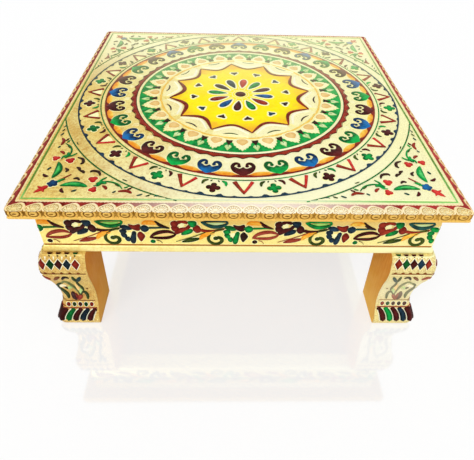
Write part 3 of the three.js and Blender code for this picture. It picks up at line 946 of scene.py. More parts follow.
def outer_band():
    turn = np.arange(0, 360, 1.5)
    widest = np.maximum(np.abs(np.sin(np.radians(turn))), np.abs(np.cos(np.radians(turn))))
    outer = np.minimum(BAND_OUTER, (FRAME_REACH - 1.4) / widest)
    inner = np.minimum(BAND_INNER, outer - 0.3)
    line = polar((outer + inner) / 2, turn, BAND_MIDDLE)
    lay("band", ribbon(line, (outer - inner) / 2, edge=0.04, crown=0.1, closed=True), tone=0)
    for angle in turn:
        reach = BAND_INNER + np.array([1.0, 3.6, 6.2])
        ends = polar(reach, angle + np.array([-1.0, 0, 1.0]), BAND_MIDDLE)
        if np.abs(ends).max() < FRAME_REACH - 1.6:
            lay("band", leaf(ends, 0.9, 0.5, low=-0.1, edge=0.12, crown=0.26, across=3))
    for corner in range(4):
        turn = np.linspace(16.6, 73.4, 48) + 90 * corner
        arc = polar(CORNER_ARC, turn, ARC_MIDDLE)
        paint("green", ribbon(arc, 0.5, edge=0.2, crown=0.42, across=3), tone=-1)
        arc = polar(CORNER_ARC + 1.6, turn, ARC_MIDDLE)[2:-2]
        lay("ribs", ribbon(arc, 0.5, edge=0.1, crown=0.35, across=3))


def square(reach, steps=24):
    corners = reach * np.array([(-1, -1), (1, -1), (1, 1), (-1, 1)])
    return np.concatenate([np.linspace(here, there, steps, endpoint=False)
                           for here, there in zip(corners, np.roll(corners, -1, 0))])


def frame_lines():
    line = ribbon(square(FRAME_REACH), 0.6, edge=0.25, crown=0.42, closed=True, across=3)
    # Painted highlight: the green line is lighter along the front
    paint("leaf", line, tone=np.interp(line[0][:, 1], [-FRAME_REACH, -125], [1.6, -1.2]))
    lay("ribs", rim(square(FRAME_REACH + 1.9), 0.6, 0.4))
    lay("ribs", rim(square(FRAME_REACH - 1.6), 0.5, 0.35))


# Corner spray, in distances in from the frame's corner: color, line, width, power
SPRAY = (
    ("redbrown", [(25.5, 25.5), (21.5, 21.5), (18.6, 18.6)], 1.2, 0.4),
    ("green", [(22.6, 20.4), (19.6, 18.8), (18.4, 16.4)], 2.4, 0.6),
)
# The strokes that stand on both sides of the corner's diagonal
SPRAY_TWINS = (
    ("red", [(6.6, 12.2), (9.0, 10.9), (11.4, 10.8)], 1.7, 0.6),
    ("green", [(13.2, 21.0), (15.0, 27.4), (14.6, 33.6), (12.4, 39.6)], 5.0, 0.8),
    ("grass", [(14.0, 24.4), (15.0, 29.4), (14.3, 34.6)], 2.4, 0.7),
    ("green", [(16.4, 45.2), (18.0, 52.0), (15.6, 59.0), (10.4, 63.4)], 1.3, 0.45),
    ("green", [(15.0, 44.6), (17.0, 48.2), (16.0, 51.6)], 3.0, 0.6),
    ("green", [(16.2, 46.6), (19.6, 47.6), (22.6, 50.6)], 1.5, 0.6),
    ("green", [(16.3, 48.5), (13.8, 46.4), (13.2, 43.4)], 1.4, 0.6),
    ("redbrown", [(13.6, 49.4), (11.8, 51.8), (9.6, 52.6)], 2.2, 0.6),
    ("black", [(24.4, 45.4), (28.6, 43.6), (29.8, 39.2), (28.2, 37.6)], 2.2, 0.5),
    ("black", [(19.2, 32.6), (21.4, 30.4), (20.6, 28.0)], 2.0, 0.6),
    ("black", [(26.8, 33.6), (29.0, 32.4), (29.8, 29.8)], 2.2, 0.6),
    ("maroon", [(6.0, 25.6), (8.0, 23.4), (10.4, 23.2)], 2.2, 0.6),
    ("redbrown", [(6.0, 70.4), (8.4, 66.6), (7.8, 61.0)], 2.4, 0.5),
    ("maroon", [(11.6, 70.0), (9.8, 66.8)], 1.4, 0.6),
    ("green", [(13.0, 67.8), (11.4, 64.2)], 1.2, 0.6),
    ("olive", [(13.0, 60.6), (15.6, 57.4)], 1.0, 0.6),
    ("olive", [(20.4, 61.6), (18.6, 65.4)], 0.9, 0.6),
    ("teal", [(9.0, 33.4), (7.2, 30.2)], 1.6, 0.6),
    ("teal", [(8.0, 59.6), (6.4, 57.4)], 1.2, 0.6),
    ("teal", [(5.2, 77.6), (3.6, 74.0)], 1.2, 0.6),
    ("olive", [(4.6, 83.4), (3.1, 80.0)], 1.0, 0.6),
    ("teal", [(4.0, 88.6), (2.8, 85.4)], 1.0, 0.6),
)


def spray(side_x, side_y):
    def corner(spots):
        return (FRAME_REACH - spots) * [side_x, side_y]

    def swapped(spots):
        return corner(spots[:, ::-1])

    for table, places in ((SPRAY, (corner,)), (SPRAY_TWINS, (corner, swapped))):
        for color, line, width, power in table:
            for place in places:
                lift = 0.3 if color == "grass" else 0
                paint(color, leaf(line, width, power, edge=0.28 + lift, crown=0.6 + lift), place)
    paint("red", dome(at(6.0, 5.6, -45)(teardrop(10.2, 3.9)), centre=(11, 10.6)), corner)
    flower = lobed(2.6, 3.9, 5, 40, spot=(15.6, 15.4))
    glow(flower, corner)
    paint("blue", dome(flower), corner)
    for place in (corner, swapped):
        for x, y, size, turn in ((9.3, 44.0, 3.1, 20), (20.2, 41.6, 3.5, 50)):
            blossom = lobed(size * 0.62, size, 3, turn, 0.9, (x, y), 30)
            glow(blossom, place, 0.5)
            paint("red", dome(blossom, edge=0.3, crown=0.65), place)


def top_pattern():
    top_sheet()
    top_centre()
    top_arcs()
    lotus_ring()
    tooth_rings()
    mango_band()
    flower_band()
    outer_band()
    frame_lines()
    for x in (-1, 1):
        for y in (-1, 1):
            spray(x, y)


# Board's edge

SHELLS = 26
SHELL_STEP = SIDE_RUN / SHELLS
SHELL_FOOT = 6.9
SHELL_SQUASH = 0.83
RED_LINE = 13.6


def edge_strip(name, turns):
    """The bare strip that follows the rounded edge from one corner to the next."""
    bend = np.linspace(STRAIGHT, SIDE_RUN / 2, 4)
    along = np.concatenate([-bend[:0:-1], np.linspace(-STRAIGHT, STRAIGHT, 80), bend[1:]])
    up = np.concatenate([np.linspace(0, 7.5, 8), PROFILE[0][2:-1]])
    rows = []
    for s in along:
        outer = np.column_stack([np.full(len(up), s), up, np.zeros(len(up))])
        rows.append(np.concatenate([outer, (outer - [0, 0, SHEET])[::-1]]))
    shape = np.concatenate(rows), loft_faces(len(rows), len(rows[0]))
    piece("edge_strip_" + name).add(shape, surface=on_edge(turns), tone=0)


def edge_shell(put, s, front):
    """One shell of the strip, flatter at the sides than in front and behind."""
    fan = mirrored([(0, 6.4), (2.1, 5.8), (4.2, 4.6), (5.6, 3.3), (5.75, 2.0), (5.2, 0.8), (3.0, 0.2),
                    (0, 0)], 2)
    shell = mirrored([(0, 4.9), (2.2, 4.3), (3.9, 3.1), (4.2, 1.8), (2.8, 0.8), (0, 0.5)], 2)
    bowl = smooth([(-3.4, 0.7), (-1.8, 0.0), (0, -0.2), (1.8, 0.0), (3.4, 0.7)], 3)
    foot = at(s, SHELL_FOOT)

    def place(spots):
        return foot(spots * [1, 1 if front else SHELL_SQUASH])

    put("shells", dome(fan, edge=0.12, crown=0.18, centre=(0, 2.6)), place)
    put("fans", rim(fan, 0.42, 0.42, -0.25), place)
    put("curls" if front else "red", rim(shell, 0.17, 0.34, 0.2), place, 0.9)
    put("shells", dome(shell, low=0.1, edge=0.2, crown=0.32, centre=(0, 2.4)), place)
    put("relief", rim(oval(3.6, 1.9, 14, (0, 2.4)), 0.22, 0.44), place)
    for k in range(-2, 3) if front else ():
        put("fans", dome(oval(0.8, 1.2, 8, (k * SHELL_STEP / 5, 7.35)), edge=0.1, crown=0.4), place)
    put("curls", taper(bowl, 0.2, 0.2, edge=0.15, crown=0.5), place, -0.3)
    for angle in range(-66, 67, 22):
        tip = np.array([math.sin(math.radians(angle)), math.cos(math.radians(angle))])
        vein = [tip * reach * (1, 0.94) + (0, 0.7) for reach in (2.2, 3.4, 4.8)]
        put("curls", leaf(vein, 0.4, 0.6, low=0.1, edge=0.2, crown=0.42, across=3), place, 0.6)


def edge_eye(put, s):
    """The eye under a shell, and the blades between it and the next."""
    place = at(s, 4.9)
    put("curls", rim(oval(6.2, 5.2, 22), 0.42, 0.35), place, -0.6)
    put("relief", dome(oval(5.0, 4.0, 18), edge=0.2, crown=0.55), place)
    put("curls", dome(oval(3.2, 1.3, 14), low=0.2, edge=0.5, crown=0.7), place, -0.9)
    place = at(s + SHELL_STEP / 2, 5.2)
    for side in (-1, 0, 1):
        blade = [(0.5 * side, -1.8), (0.7 * side, 0.6), (1.7 * side, 2.6 + 0.8 * (side == 0))]
        put("curls", leaf(blade, 0.6, 0.6, edge=0.15, crown=0.35), place, 0.0)
    for side in (-1, 1):
        blade = [(1.6 * side, -3.4), (0.9 * side, -1.6), (-0.6 * side, 0.4), (-1.5 * side, 2.4)]
        put("curls", leaf(blade, 0.5, 0.6, edge=0.15, crown=0.3), place, 0.3)


def edge_pattern(turns):
    surface = on_edge(turns)
    front = turns % 2 == 0
    wave = np.linspace(-SIDE_RUN / 2, SIDE_RUN / 2, SHELLS * 12 + 1)

    def put(kind, shape, place=None, tone=None):
        piece("edge_" + kind).add(shape, place, surface, tone)

    def level(height):
        return np.stack([wave, np.full(len(wave), height)], 1)

    depth = (0.35 if front else 0.95) + 2.5 * (1 - np.abs(np.sin(np.pi * wave / SHELL_STEP))) ** 0.95
    put("red", ribbon(level(RED_LINE), depth, 0.6, edge=0.1, crown=0.25), tone=0.1)
    put("fans", ribbon(level(RED_LINE + 1.6), 0.75, edge=0.1, crown=0.35, across=3), tone=0)
    for k in range(SHELLS):
        s = (k - (SHELLS - 1) / 2) * SHELL_STEP
        edge_shell(put, s, front)
        edge_eye(put, s)
    for height, half, crown in ((0.95, 0.9, 0.6), (2.1, 0.25, 0.3)):
        put("relief", ribbon(level(height), half, edge=0.1, crown=crown))


# Aprons

# Colours of the vine's parts in the two kinds of repeat, which take turns
VINE_COLORS = {
    "stem": ("green", "teal"), "a": ("maroon", "black"), "b": ("green", "teal"), "frond": ("rose", "maroon"),
    "blush": ("pink", "pink"), "dot": ("black", "green"), "up": ("maroon", "redbrown"),
    "wing": ("navy", "green"), "leaf": ("navy", "green"), "stalk": ("maroon", "redbrown"),
    "inner": ("lime", "palegreen"), "tip": ("rose", "olive"), "spiral": ("olive", "olive"),
    "down": ("navy", "green"), "crest": ("redbrown", "maroon"), "side": ("navy", "green"),
    "tail": ("redbrown", "black"), "orange": ("orange", "orange"),
}
PERIOD = 73.0
STRETCH = 1.002
VINE_START = -145
VINE_TOP = 120.2
APRON_REACH = 141.0

# One repeat of the vine, in tenths of a millimetre, downward from its upper line.
# Lines: part, points, first and last width; leaves: part, points, width; petals: part, outline
VINE_LINES = (
    ("stem", [(60, 132), (120, 130), (170, 128), (216, 134)], 15, 8),
    ("stem", [(10, 128), (40, 126), (70, 132)], 20, 14),
    ("stalk", [(424, 144), (470, 158), (530, 156), (580, 142), (612, 128)], 24, 7),
    ("tip", [(258, 268), (330, 238), (400, 208), (470, 170)], 2, 6),
    ("spiral", [(598, 138), (540, 154), (504, 186), (489, 226), (496, 262), (526, 287), (560, 286),
                (584, 262),
                (582, 236), (562, 224), (546, 230)], 15, 24),
    ("frond", [(118, 252), (142, 262), (158, 284)], 3, 2),
)
VINE_LEAVES = (
    ("orange", [(28, 92), (76, 76), (134, 90)], 34),
    ("a", [(120, 62), (146, 96), (180, 120), (220, 134)], 22),
    ("frond", [(72, 230), (106, 194), (152, 172), (206, 166), (262, 190)], 26),
    ("frond", [(72, 228), (120, 231), (184, 231), (232, 216), (262, 190)], 22),
    ("b", [(438, 68), (480, 97), (530, 116), (590, 107), (628, 80)], 28),
    ("b", [(438, 72), (500, 62), (560, 57), (608, 62), (630, 84)], 21),
    ("orange", [(422, 246), (454, 206), (492, 176), (528, 158)], 32),
    ("orange", [(448, 226), (494, 190), (534, 176)], 18),
)
VINE_INNER = (
    ("blush", [(124, 206), (176, 197), (236, 192)], 22),
    ("inner", [(488, 84), (544, 88), (602, 80)], 22),
)
VINE_PETALS = (
    ("dot", [(92, 249), (104, 254), (109, 266), (104, 278), (92, 283), (80, 278), (75, 266), (80, 254)]),
    ("spiral", [(526, 224), (540, 213), (556, 220), (558, 238), (542, 247), (527, 240)]),
    ("up", [(236, 72), (262, 62), (278, 80), (272, 106), (246, 114), (231, 96)]),
    ("up", [(234, 118), (268, 114), (282, 134), (266, 160), (242, 154)]),
    ("up", [(274, 66), (310, 58), (342, 66), (340, 86), (306, 74), (284, 86)]),
    ("up", [(252, 176), (270, 148), (300, 130), (336, 122), (352, 100), (362, 120),
            (334, 148), (290, 176), (264, 190)]),
    ("wing", [(348, 66), (376, 60), (404, 66), (408, 96), (390, 118), (368, 116), (354, 92)]),
    ("up", [(386, 126), (408, 102), (430, 122), (434, 160), (408, 174), (388, 152)]),
    ("leaf", [(300, 198), (306, 168), (330, 146), (366, 138), (380, 150), (372, 174), (340, 192)]),
    ("tip", [(298, 271), (324, 248), (372, 229), (434, 227), (424, 244), (382, 264), (340, 273)]),
    ("down", [(606, 116), (636, 106), (668, 120), (684, 142), (656, 150), (624, 140)]),
    ("down", [(600, 156), (622, 146), (642, 160), (638, 178), (614, 186), (602, 172)]),
    ("down", [(606, 192), (630, 186), (642, 208), (634, 228), (614, 220)]),
    ("down", [(630, 234), (652, 222), (662, 240), (654, 264), (638, 258)]),
    ("down", [(690, 168), (708, 176), (704, 210), (700, 250), (692, 278), (678, 286),
              (667, 270), (670, 228)]),
    ("crest", [(666, 96), (704, 106), (742, 94), (745, 140), (728, 158), (700, 150), (676, 126)]),
    ("side", [(750, 122), (772, 104), (798, 118), (802, 148), (776, 170), (752, 156)]),
    ("tail", [(738, 168), (758, 184), (770, 212), (754, 246), (736, 266), (721, 232), (718, 196)]),
)


def vine_repeat(surface, start, version):
    """One repeat of the vine, cut off at the apron's ends."""
    def put(kind, shape):
        points, faces = shape
        moved = points.copy()
        moved[:, 0] = np.clip((start + points[:, 0] / 10) * STRETCH, -APRON_REACH, APRON_REACH)
        moved[:, 1] = VINE_TOP - points[:, 1] / 10
        if np.ptp(moved[:, 0]) > 0.6:
            piece("apron_" + kind).add((moved, faces), surface=surface)

    def fill(part, shape):
        put("enamel_" + VINE_COLORS[part][version], shape)

    for part, line, first, last in VINE_LINES:
        fill(part, taper(line, first * 1.25, last * 1.25, edge=0.3, crown=0.55))
    for part, line, width in VINE_INNER:
        fill(part, leaf(line, width, 0.6, edge=0.14, crown=0.22))
    for part, line, width in VINE_LEAVES:
        fill(part, leaf(line, width * 1.22, 0.6, edge=0.3, crown=0.55))
    for part, outline in VINE_PETALS:
        outline = grow(smooth(outline, 3, True), 4.5 if part in ("up", "down") else 2)
        put("glow", dome(grow(outline, 4.5), edge=0.2, crown=0.22))
        fill(part, dome(outline, edge=0.32, crown=0.62))
    for x, y, wide, high in ((303, 100, 40, 40), (664, 194, 38, 40)):
        put("glow", dome(oval(wide, high, 18, (x, y)), edge=0.3, crown=0.45))


def vine(turns):
    for repeat in range(5):
        vine_repeat(on_apron(turns), VINE_START + (repeat - 1) * PERIOD, (repeat + 1) % 2)


# Lines along the apron: kind, level, half width, height
APRON_LINES = (
    ("enamel_ochre", 89.8, 0.6, 0.22), ("enamel_brown", 89.5, 0.22, 0.34),
    ("ribs", 90.9, 0.35, 0.3), ("ribs", 117.6, 0.6, 0.5), ("ribs", 123.8, 0.8, 0.6),
)


def apron_lines(turns):
    surface = on_apron(turns)
    for kind, z, half, crown in APRON_LINES:
        line = np.array([[-APRON_REACH, z], [0, z], [APRON_REACH, z]])
        piece("apron_" + kind).add(ribbon(line, half, edge=0.1, crown=crown), surface=surface)
    bud = dome(teardrop(4.4, 3.6, 0.8, 14), edge=0.15, crown=0.5, centre=(0, 2.8))
    for k in range(-23, 24):
        piece("apron_ribs").add(bud, at(k * 6.0, 118.5), surface)


# Base moulding

def base_moulding(name, turns):
    turn = np.linspace(0, np.pi / 2, 8)
    middle = BASE_FACE + BASE_ROUND
    low, high = LEG_HIGH + BASE_ROUND, APRON_LOW - BASE_ROUND
    lower = [(middle - BASE_ROUND * math.sin(a), low - BASE_ROUND * math.cos(a)) for a in turn]
    upper = [(middle - BASE_ROUND * math.cos(a), high + BASE_ROUND * math.sin(a)) for a in turn]
    profile = np.array([(BASE_BACK, LEG_HIGH)] + lower + upper + [(BASE_BACK, APRON_LOW)])
    rows = []
    for share in np.linspace(-1, 1, 41):
        x = share * (HALF - profile[:, 0] - 0.08)
        rows.append(np.stack([x, profile[:, 0] - HALF, profile[:, 1]], 1))
    shape = np.concatenate(rows), loft_faces(len(rows), len(profile))
    piece("moulding_" + name).add(shape, surface=on_side(turns), tone=0)


# Legs

def leg_sheet(name, turns):
    """The sheet round both outer faces of a leg, with its upper end turned in under the moulding."""
    angle = np.linspace(0, np.pi / 2, 11)
    rows = []
    levels = [(z, 0.0) for z in np.linspace(0.9, LEG_HIGH - 0.25, 90)]
    for z, push in levels + [(LEG_HIGH + 0.1, 0.25), (LEG_HIGH + 0.13, 3.4)]:
        inset = float(leg_inset(z)) + push
        middle = inset + LEG_ROUND
        flat = np.linspace(float(leg_back(z)), middle, 12)[:-1]
        sides = []
        for deep in (0, SHEET):
            soft = LEG_ROUND - deep
            first = [(a, inset + deep) for a in flat]
            bend = [(middle - soft * math.sin(t), middle - soft * math.cos(t)) for t in angle]
            sides.append(np.array(first + bend + [(b, a) for a, b in first[::-1]]))
        ring = np.concatenate([sides[0], sides[1][::-1]])
        rows.append(np.column_stack([ring - HALF, np.full(len(ring), z)]))
    wide = len(rows[0])
    faces = loft_faces(len(rows), wide)[:-2]
    for base in (0, (len(rows) - 1) * wide):
        for k in range(wide // 2 - 1):
            faces.append((base + k, base + k + 1, base + wide - 2 - k, base + wide - 1 - k))
    piece("leg_skin_" + name).add((np.concatenate(rows), faces), surface=on_side(turns), tone=0)


# The leg's pattern is drawn flat, about twelve units to a millimetre,
# and stretched over the curve by these marks
DRAWN = [-35, 5, 90, 155, 215, 290, 350, 440, 600, 650, 745, 800, 860, 900, 1000, 1060]
LEVELS = [84.9, 82.4, 80.4, 76.4, 72.2, 66.6, 60.8, 49.0, 32.2, 27.9, 21.9, 18.4, 15.2, 13.0, 7.4, 3.6]
STARTS = [2.0, 2.0, 1.8, 1.7, 1.9, 2.2, 1.8, -0.1, -1.2, -1.2, -0.6, -0.1, 0.8, 1.3, 1.9, 2.2]
LEG_UNIT = 0.0826

LEG_LEAVES = (
    ("rose", [(34, 336), (66, 346), (106, 366)], 2.4, 0.5),
    ("brown", [(138, 374), (160, 352), (190, 328)], 2.2, 0.6),
    ("black", [(208, 368), (222, 344), (246, 338), (272, 352)], 1.9, 0.5),
    ("olive", [(304, 326), (316, 366), (334, 402)], 1.9, 0.6),
    ("teal", [(376, 332), (356, 366), (338, 402)], 2.3, 0.6),
    ("olive", [(150, 462), (158, 500), (196, 556), (210, 600), (206, 644)], 2.4, 0.5),
    ("olive", [(148, 470), (152, 440), (176, 424), (200, 420)], 1.7, 0.5),
    ("sage", [(186, 424), (220, 396), (258, 424), (296, 490), (318, 566)], 2.2, 0.5),
    ("olive", [(196, 412), (238, 404), (276, 440), (304, 500), (322, 590)], 1.3, 0.5),
    ("cream", [(170, 478), (192, 452), (226, 462)], 2.6, 0.6),
    ("palegreen", [(236, 520), (250, 476), (268, 500)], 1.7, 0.6),
    ("black", [(204, 478), (218, 490), (226, 508)], 1.8, 0.6),
    ("maroon", [(262, 546), (264, 590), (272, 640), (286, 664)], 3.2, 0.55),
    ("redbrown", [(284, 568), (292, 612), (290, 660)], 1.8, 0.6),
    ("rose", [(336, 584), (322, 622), (296, 670)], 2.7, 0.6),
    ("olive", [(330, 398), (342, 440), (362, 480), (372, 530)], 1.8, 0.5),
    ("pink", [(318, 424), (326, 476), (322, 530)], 2.0, 0.6),
    ("olive", [(332, 600), (344, 564), (372, 548), (392, 580), (394, 618), (388, 660)], 2.0, 0.45),
    ("palegreen", [(352, 500), (342, 536), (336, 572)], 1.8, 0.6),
    ("brown", [(402, 496), (412, 508)], 1.3, 0.6),
)
# Lines across the leg: kind, drawn level, half width, height
LEG_LINES = (
    ("enamel_brown", 291, 0.5, 0.5), ("ribs", 304, 0.3, 0.3), ("ribs", 0, 0.5, 0.5),
    ("enamel_brown", 686, 0.42, 0.45), ("ribs", 700, 0.3, 0.3), ("enamel_rose", 800, 0.5, 0.5),
)


def leg_diamonds(spot, put, colors, pitch):
    """The band of diamonds, with knobs under it and teeth and bars above it."""
    for k, column in enumerate((78, 150, 223, 297, 372)):
        x = 370 + (column - 372) * pitch
        wide = 31 if k == 0 else 36
        diamond = spot([(x, 82), (x + wide, 155), (x, 228), (x - wide, 155)])
        dense = []
        for here, there in zip(diamond, np.roll(diamond, -1, 0)):
            dense += [here, here + (there - here) / 3, here + (there - here) * 2 / 3]
        put("enamel_" + colors[k], dome(dense, edge=0.3, crown=0.6))
        put("pale", dome(grow(dense, 0.55), edge=0.12, crown=0.14), 0)
        knob = [(x - 16, 288), (x - 10, 272), (x + 2, 264), (x + 14, 272), (x + 18, 288)]
        put("enamel_brown", dome(spot(knob), crown=0.5))
        if k:
            tooth = [(x - 23, -34), (x - 10, -34), (x + 10, -34), (x + 23, -34), (x + 13, 2), (x, 40),
                     (x - 13, 2)]
            put("enamel_pine" if k == 4 else "enamel_maroon", dome(spot(tooth), edge=0.2, crown=0.4))
            bar = spot([(x - 37, 96), (x - 37, 60), (x - 37, 30)])
            put("pale", taper(bar, 0.3, 1.2, edge=0.1, crown=0.3), 0.5)


def leg_lines(spot, put):
    for kind, y, half, crown in LEG_LINES:
        line = spot([(x, y) for x in np.linspace(20, 450, 28)])
        a, z = line[:, 0], line[0, 1]
        line = line[(a > leg_inset(z) - 0.4) & (a < leg_back(z) - 0.8)]
        put(kind, ribbon(line, half, edge=0.1, crown=crown, across=3))


def leg_spray(spot, put, swell):
    for color, line, width, power in LEG_LEAVES:
        put("enamel_" + color, leaf(spot(line), width * swell, power, edge=0.3, crown=0.55))


def leg_dots(spot, put, colors):
    for color, x in zip(colors, (184, 240, 297, 353, 408)):
        dot = oval(3.1, 4.2, 16, spot([(x, 745)])[0])
        put("enamel_" + color, dome(dot, edge=0.3, crown=0.6))
        put("pale", dome(grow(dot, 0.4), edge=0.12, crown=0.14), 0)


def leg_flutes(spot, put, colors):
    share = np.linspace(0, 1, 31)
    width = np.interp(share, [0, 0.06, 0.3, 0.7, 0.9, 1], [0.5, 1.5, 2.3, 2.65, 2.3, 0.7])
    for k in range(5):
        x = 70 * k
        flute = spot([(158 + x, 812), (122 + x, 856), (84 + x, 930), (62 + x, 1022)])
        color = colors[k].replace("pine", "green") if 0 < k < 4 else "maroon"
        put("enamel_" + color, ribbon(smooth(flute, 10), width, edge=0.35, crown=1.0))
        gap = spot([(min(196 + x, 432), 812), (min(158 + x, 426), 856), (119 + x, 930), (97 + x, 1016)])
        put("pale", ribbon(smooth(gap, 10), 0.5, edge=0.3, crown=0.8, across=3), 1)


def leg_face(turns, mirror, colors, dots, lean, drop, pitch, swell):
    surface = on_leg(turns, mirror)

    def spot(points):
        x, y = np.array(points, float).T
        z = np.interp(y, DRAWN, LEVELS) - drop * np.interp(y, [5, 90, 900, 1000], [0, 1, 1, 0])
        shift = np.interp(z, [32, 60], [0, lean])
        return np.stack([np.interp(y, DRAWN, STARTS) + x * LEG_UNIT + shift, z], 1)

    def put(kind, shape, tone=None):
        piece("leg_" + kind).add(shape, surface=surface, tone=tone)

    leg_diamonds(spot, put, colors, pitch)
    leg_lines(spot, put)
    leg_spray(spot, put, swell)
    leg_dots(spot, put, dots)
    leg_flutes(spot, put, colors)


# The two faces of a leg: colours of its diamonds and dots, then its lean, drop, pitch and leaf width
LEFT_FACE = (
    ("redbrown", "pine", "maroon", "navy", "redbrown"), ("redbrown", "olive", "maroon", "pine", "redbrown"),
    0.0, 0.9, 1.0, 1.35,
)
RIGHT_FACE = (
    ("redbrown", "navy", "maroon", "pine", "redbrown"), ("maroon", "black", "maroon", "pine", "redbrown"),
    2.2, -0.9, 0.93, 1.15,
)


def leg_patterns():
    for turns, name in enumerate(LEGS):
        leg_sheet(name, turns)
        odd = turns % 2 == 1
        leg_face(turns, odd, *(RIGHT_FACE if odd else LEFT_FACE))
        leg_face(turns, not odd, *(LEFT_FACE if odd else RIGHT_FACE))


# Materials of the pieces

# Enamels: first colour, light colour and, for one, a cloudy colour
ENAMELS = {
    "yellow": ((255, 240, 0), (250, 186, 40), (255, 222, 8)),
    "green": ((2, 88, 34), (10, 178, 76)), "maroon": ((50, 10, 6), (96, 30, 28)),
    "redbrown": ((110, 24, 12), (172, 56, 34)), "red": ((168, 22, 20), (226, 66, 56)),
    "pine": ((4, 52, 14), (14, 110, 46)), "grass": ((36, 156, 62), (90, 214, 112)),
    "blue": ((6, 42, 78), (22, 112, 178)), "navy": ((14, 28, 36), (34, 66, 88)),
    "teal": ((16, 50, 48), (40, 94, 84)), "black": ((34, 14, 8), (66, 36, 24)),
    "brown": ((112, 58, 22), (160, 92, 40)), "ochre": ((176, 108, 26), (214, 152, 62)),
    "orange": ((240, 146, 30), (255, 222, 90)), "amber": ((238, 190, 72), (248, 212, 110)),
    "tan": ((226, 180, 100), (244, 212, 142)), "leaf": ((92, 136, 44), (140, 206, 110)),
    "sage": ((112, 118, 64), (178, 182, 120)), "palegreen": ((182, 212, 132), (228, 242, 186)),
    "lime": ((120, 200, 80), (200, 236, 130)), "olive": ((36, 54, 14), (78, 96, 30)),
    "rose": ((132, 42, 28), (184, 84, 62)), "pink": ((248, 206, 128), (252, 226, 164)),
    "cream": ((252, 240, 200), (255, 250, 226)),
}
# Golds: pale, warm and deep colour, warmth, stipple, and where set the place and the metal
GOLDS = {
    "top_gold": (PALE, WARM, DEEP, 0.5, 0.55, "top"),
    "rib_gold": ((252, 240, 160), (236, 202, 106), DEEP, 0.35, 0.12, "top"),
    "petal_gold": ((253, 246, 182), (242, 212, 120), DEEP, 0.3, 0.3, "top"),
    "pale_gold": ((254, 251, 218), (252, 238, 180), DEEP, 0.2, 0.06, "", 0.1),
    "band_gold": ((249, 240, 160), (214, 178, 88), DEEP, 0.5, 0.35, "top"),
    "glow_gold": ((254, 250, 186), (252, 238, 150), DEEP, 0.2, 0.06, "", 0.1),
    "leg_gold": ((238, 216, 128), (210, 162, 76), (160, 94, 34), 0.6, 0.85, "leg"),
    "edge_gold": ((228, 180, 82), (208, 148, 50), (140, 88, 20), 0.5, 0.45),
    "edge_relief_gold": ((238, 194, 96), (220, 160, 64), (146, 92, 22), 0.5, 0.3),
    "fan_gold": ((250, 226, 168), (234, 196, 130), (160, 110, 40), 0.45, 0.3, "edge", 0.05),
    "shell_gold": ((234, 216, 146), (212, 186, 104), (140, 108, 36), 0.5, 0.6, "edge", 0.05),
    "moulding_gold": ((248, 236, 160), (232, 200, 102), DEEP, 0.4, 0.05, "mould"),
}
LOOKS = {
    "top_sheet_embossed": "top_gold", "top_ribs": "rib_gold", "top_petals": "petal_gold",
    "top_pale": "pale_gold", "top_glow": "glow_gold", "top_band": "band_gold", "edge_fans": "fan_gold",
    "edge_relief": "edge_relief_gold", "edge_shells": "shell_gold", "apron_ribs": "rib_gold",
    "apron_glow": "glow_gold", "leg_ribs": "rib_gold", "leg_pale": "pale_gold",
}
SLOTS = {"edge": "antique_sheet", "moul": "gilded_wood"}


def build_pieces():
    golds = {name: gold_material(name, *values) for name, values in GOLDS.items()}
    looks = {name: golds[gold] for name, gold in LOOKS.items()}
    looks["edge_red"] = enamel_material("edge_red", (108, 24, 14), (190, 64, 58), glare=0.85)
    looks["edge_curls"] = enamel_material("curl_brown", (122, 80, 14), (200, 152, 62))
    replaced = {"top_sheet_embossed": ("top_sheet",)}
    for name in SIDES:
        looks["edge_strip_" + name] = golds["edge_gold"]
        looks["moulding_" + name] = golds["moulding_gold"]
        replaced["edge_strip_" + name] = ("edge_sheet_" + name,)
        replaced["moulding_" + name] = ("base_moulding_" + name,)
    for name in LEGS:
        looks["leg_skin_" + name] = golds["leg_gold"]
        replaced["leg_skin_" + name] = ("leg_sheet_" + name,)
    enamels = {}
    for name, made in PIECES.items():
        if "_enamel_" in name:
            color = name.split("_enamel_")[1]
            if color not in enamels:
                glare = 0.9 * (color == "leaf")
                enamels[color] = enamel_material("enamel_" + color, *ENAMELS[color], sheen=0.66, glare=glare)
            looks[name] = enamels[color]
        made.build(looks[name], SLOTS.get(name[:4], "gold_sheet"), replaced.get(name, ()))


def draw_all():
    top_pattern()
    for turns, name in enumerate(SIDES):
        edge_strip(name, turns)
        edge_pattern(turns)
        vine(turns)
        apron_lines(turns)
        base_moulding(name, turns)
    leg_patterns()


# Stage

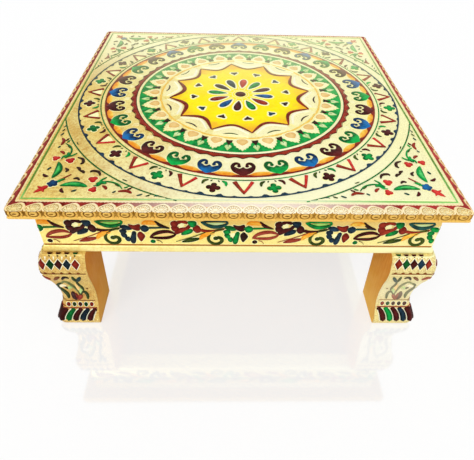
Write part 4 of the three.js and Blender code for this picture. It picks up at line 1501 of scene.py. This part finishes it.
def add_floor():
    reach = 6.0
    corners = [(-reach, -reach, 0), (reach, -reach, 0), (reach, reach, 0), (-reach, reach, 0)]
    mesh = bpy.data.meshes.new("floor")
    mesh.from_pydata(corners, [], [(0, 1, 2, 3)])
    floor = add_object("floor", mesh)
    plain = Shader("floor")
    mesh.materials.append(plain.set(Base_Color=(0.96, 0.96, 0.96, 1), Roughness=0.9, Specular_IOR_Level=0.0))
    gloss = plain.node("BsdfGlossy", Roughness=0.06, Color=(1, 1, 1, 1))
    seen = plain.sums("MULTIPLY", plain.node("LightPath").outputs["Is Camera Ray"], 0.8)
    paler = plain.blend_shaders(seen, plain.body, plain.node("Emission"))
    mix = plain.blend_shaders(0.13, paler, gloss)
    plain.put(plain.tree.nodes["Material Output"].inputs["Surface"], mix.outputs[0])
    floor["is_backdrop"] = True


def add_lights():
    world = bpy.data.worlds.new("world")
    bpy.context.scene.world = world
    world.use_nodes = True
    sky = Nodes(world.node_tree)
    sky.tree.nodes.clear()
    out = sky.node("OutputWorld")
    height = sky.node("SeparateXYZ", Vector=sky.node("TexCoord").outputs["Generated"]).outputs["Z"]
    grey = sky.node("Background", Color=sky.ramp(height, [(0.0, (1, 1, 1, 1)), (0.6, (0.6, 0.6, 0.6, 1))]))
    white = sky.node("Background", Color=(1, 1, 1, 1))
    path = sky.node("LightPath")
    shown = path.outputs["Is Camera Ray"]
    for kind in ("Is Glossy Ray", "Is Transmission Ray"):
        shown = sky.sums("MAXIMUM", shown, path.outputs[kind])
    sky.put(out.inputs["Surface"], sky.blend_shaders(shown, grey, white).outputs[0])
    for name, energy, angle, turn in (("key", 1.2, 25, (38, 0, -35)), ("fill", 0.35, 60, (50, 0, 60))):
        light = bpy.data.lights.new(name, "SUN")
        light.energy = energy
        light.angle = math.radians(angle)
        lamp = add_object(name, light)
        lamp.rotation_euler = [math.radians(value) for value in turn]


def set_view():
    bpy.context.scene.view_settings.view_transform = "Standard"


def write_size():
    def plain(box):
        return [[float(value) for value in corner] for corner in box]
    {"cad": plain(CAD_BOX), "visual": plain(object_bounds())}


add_camera()
dress_frame()
draw_all()
build_pieces()
add_floor()
add_lights()
set_view()
write_size()
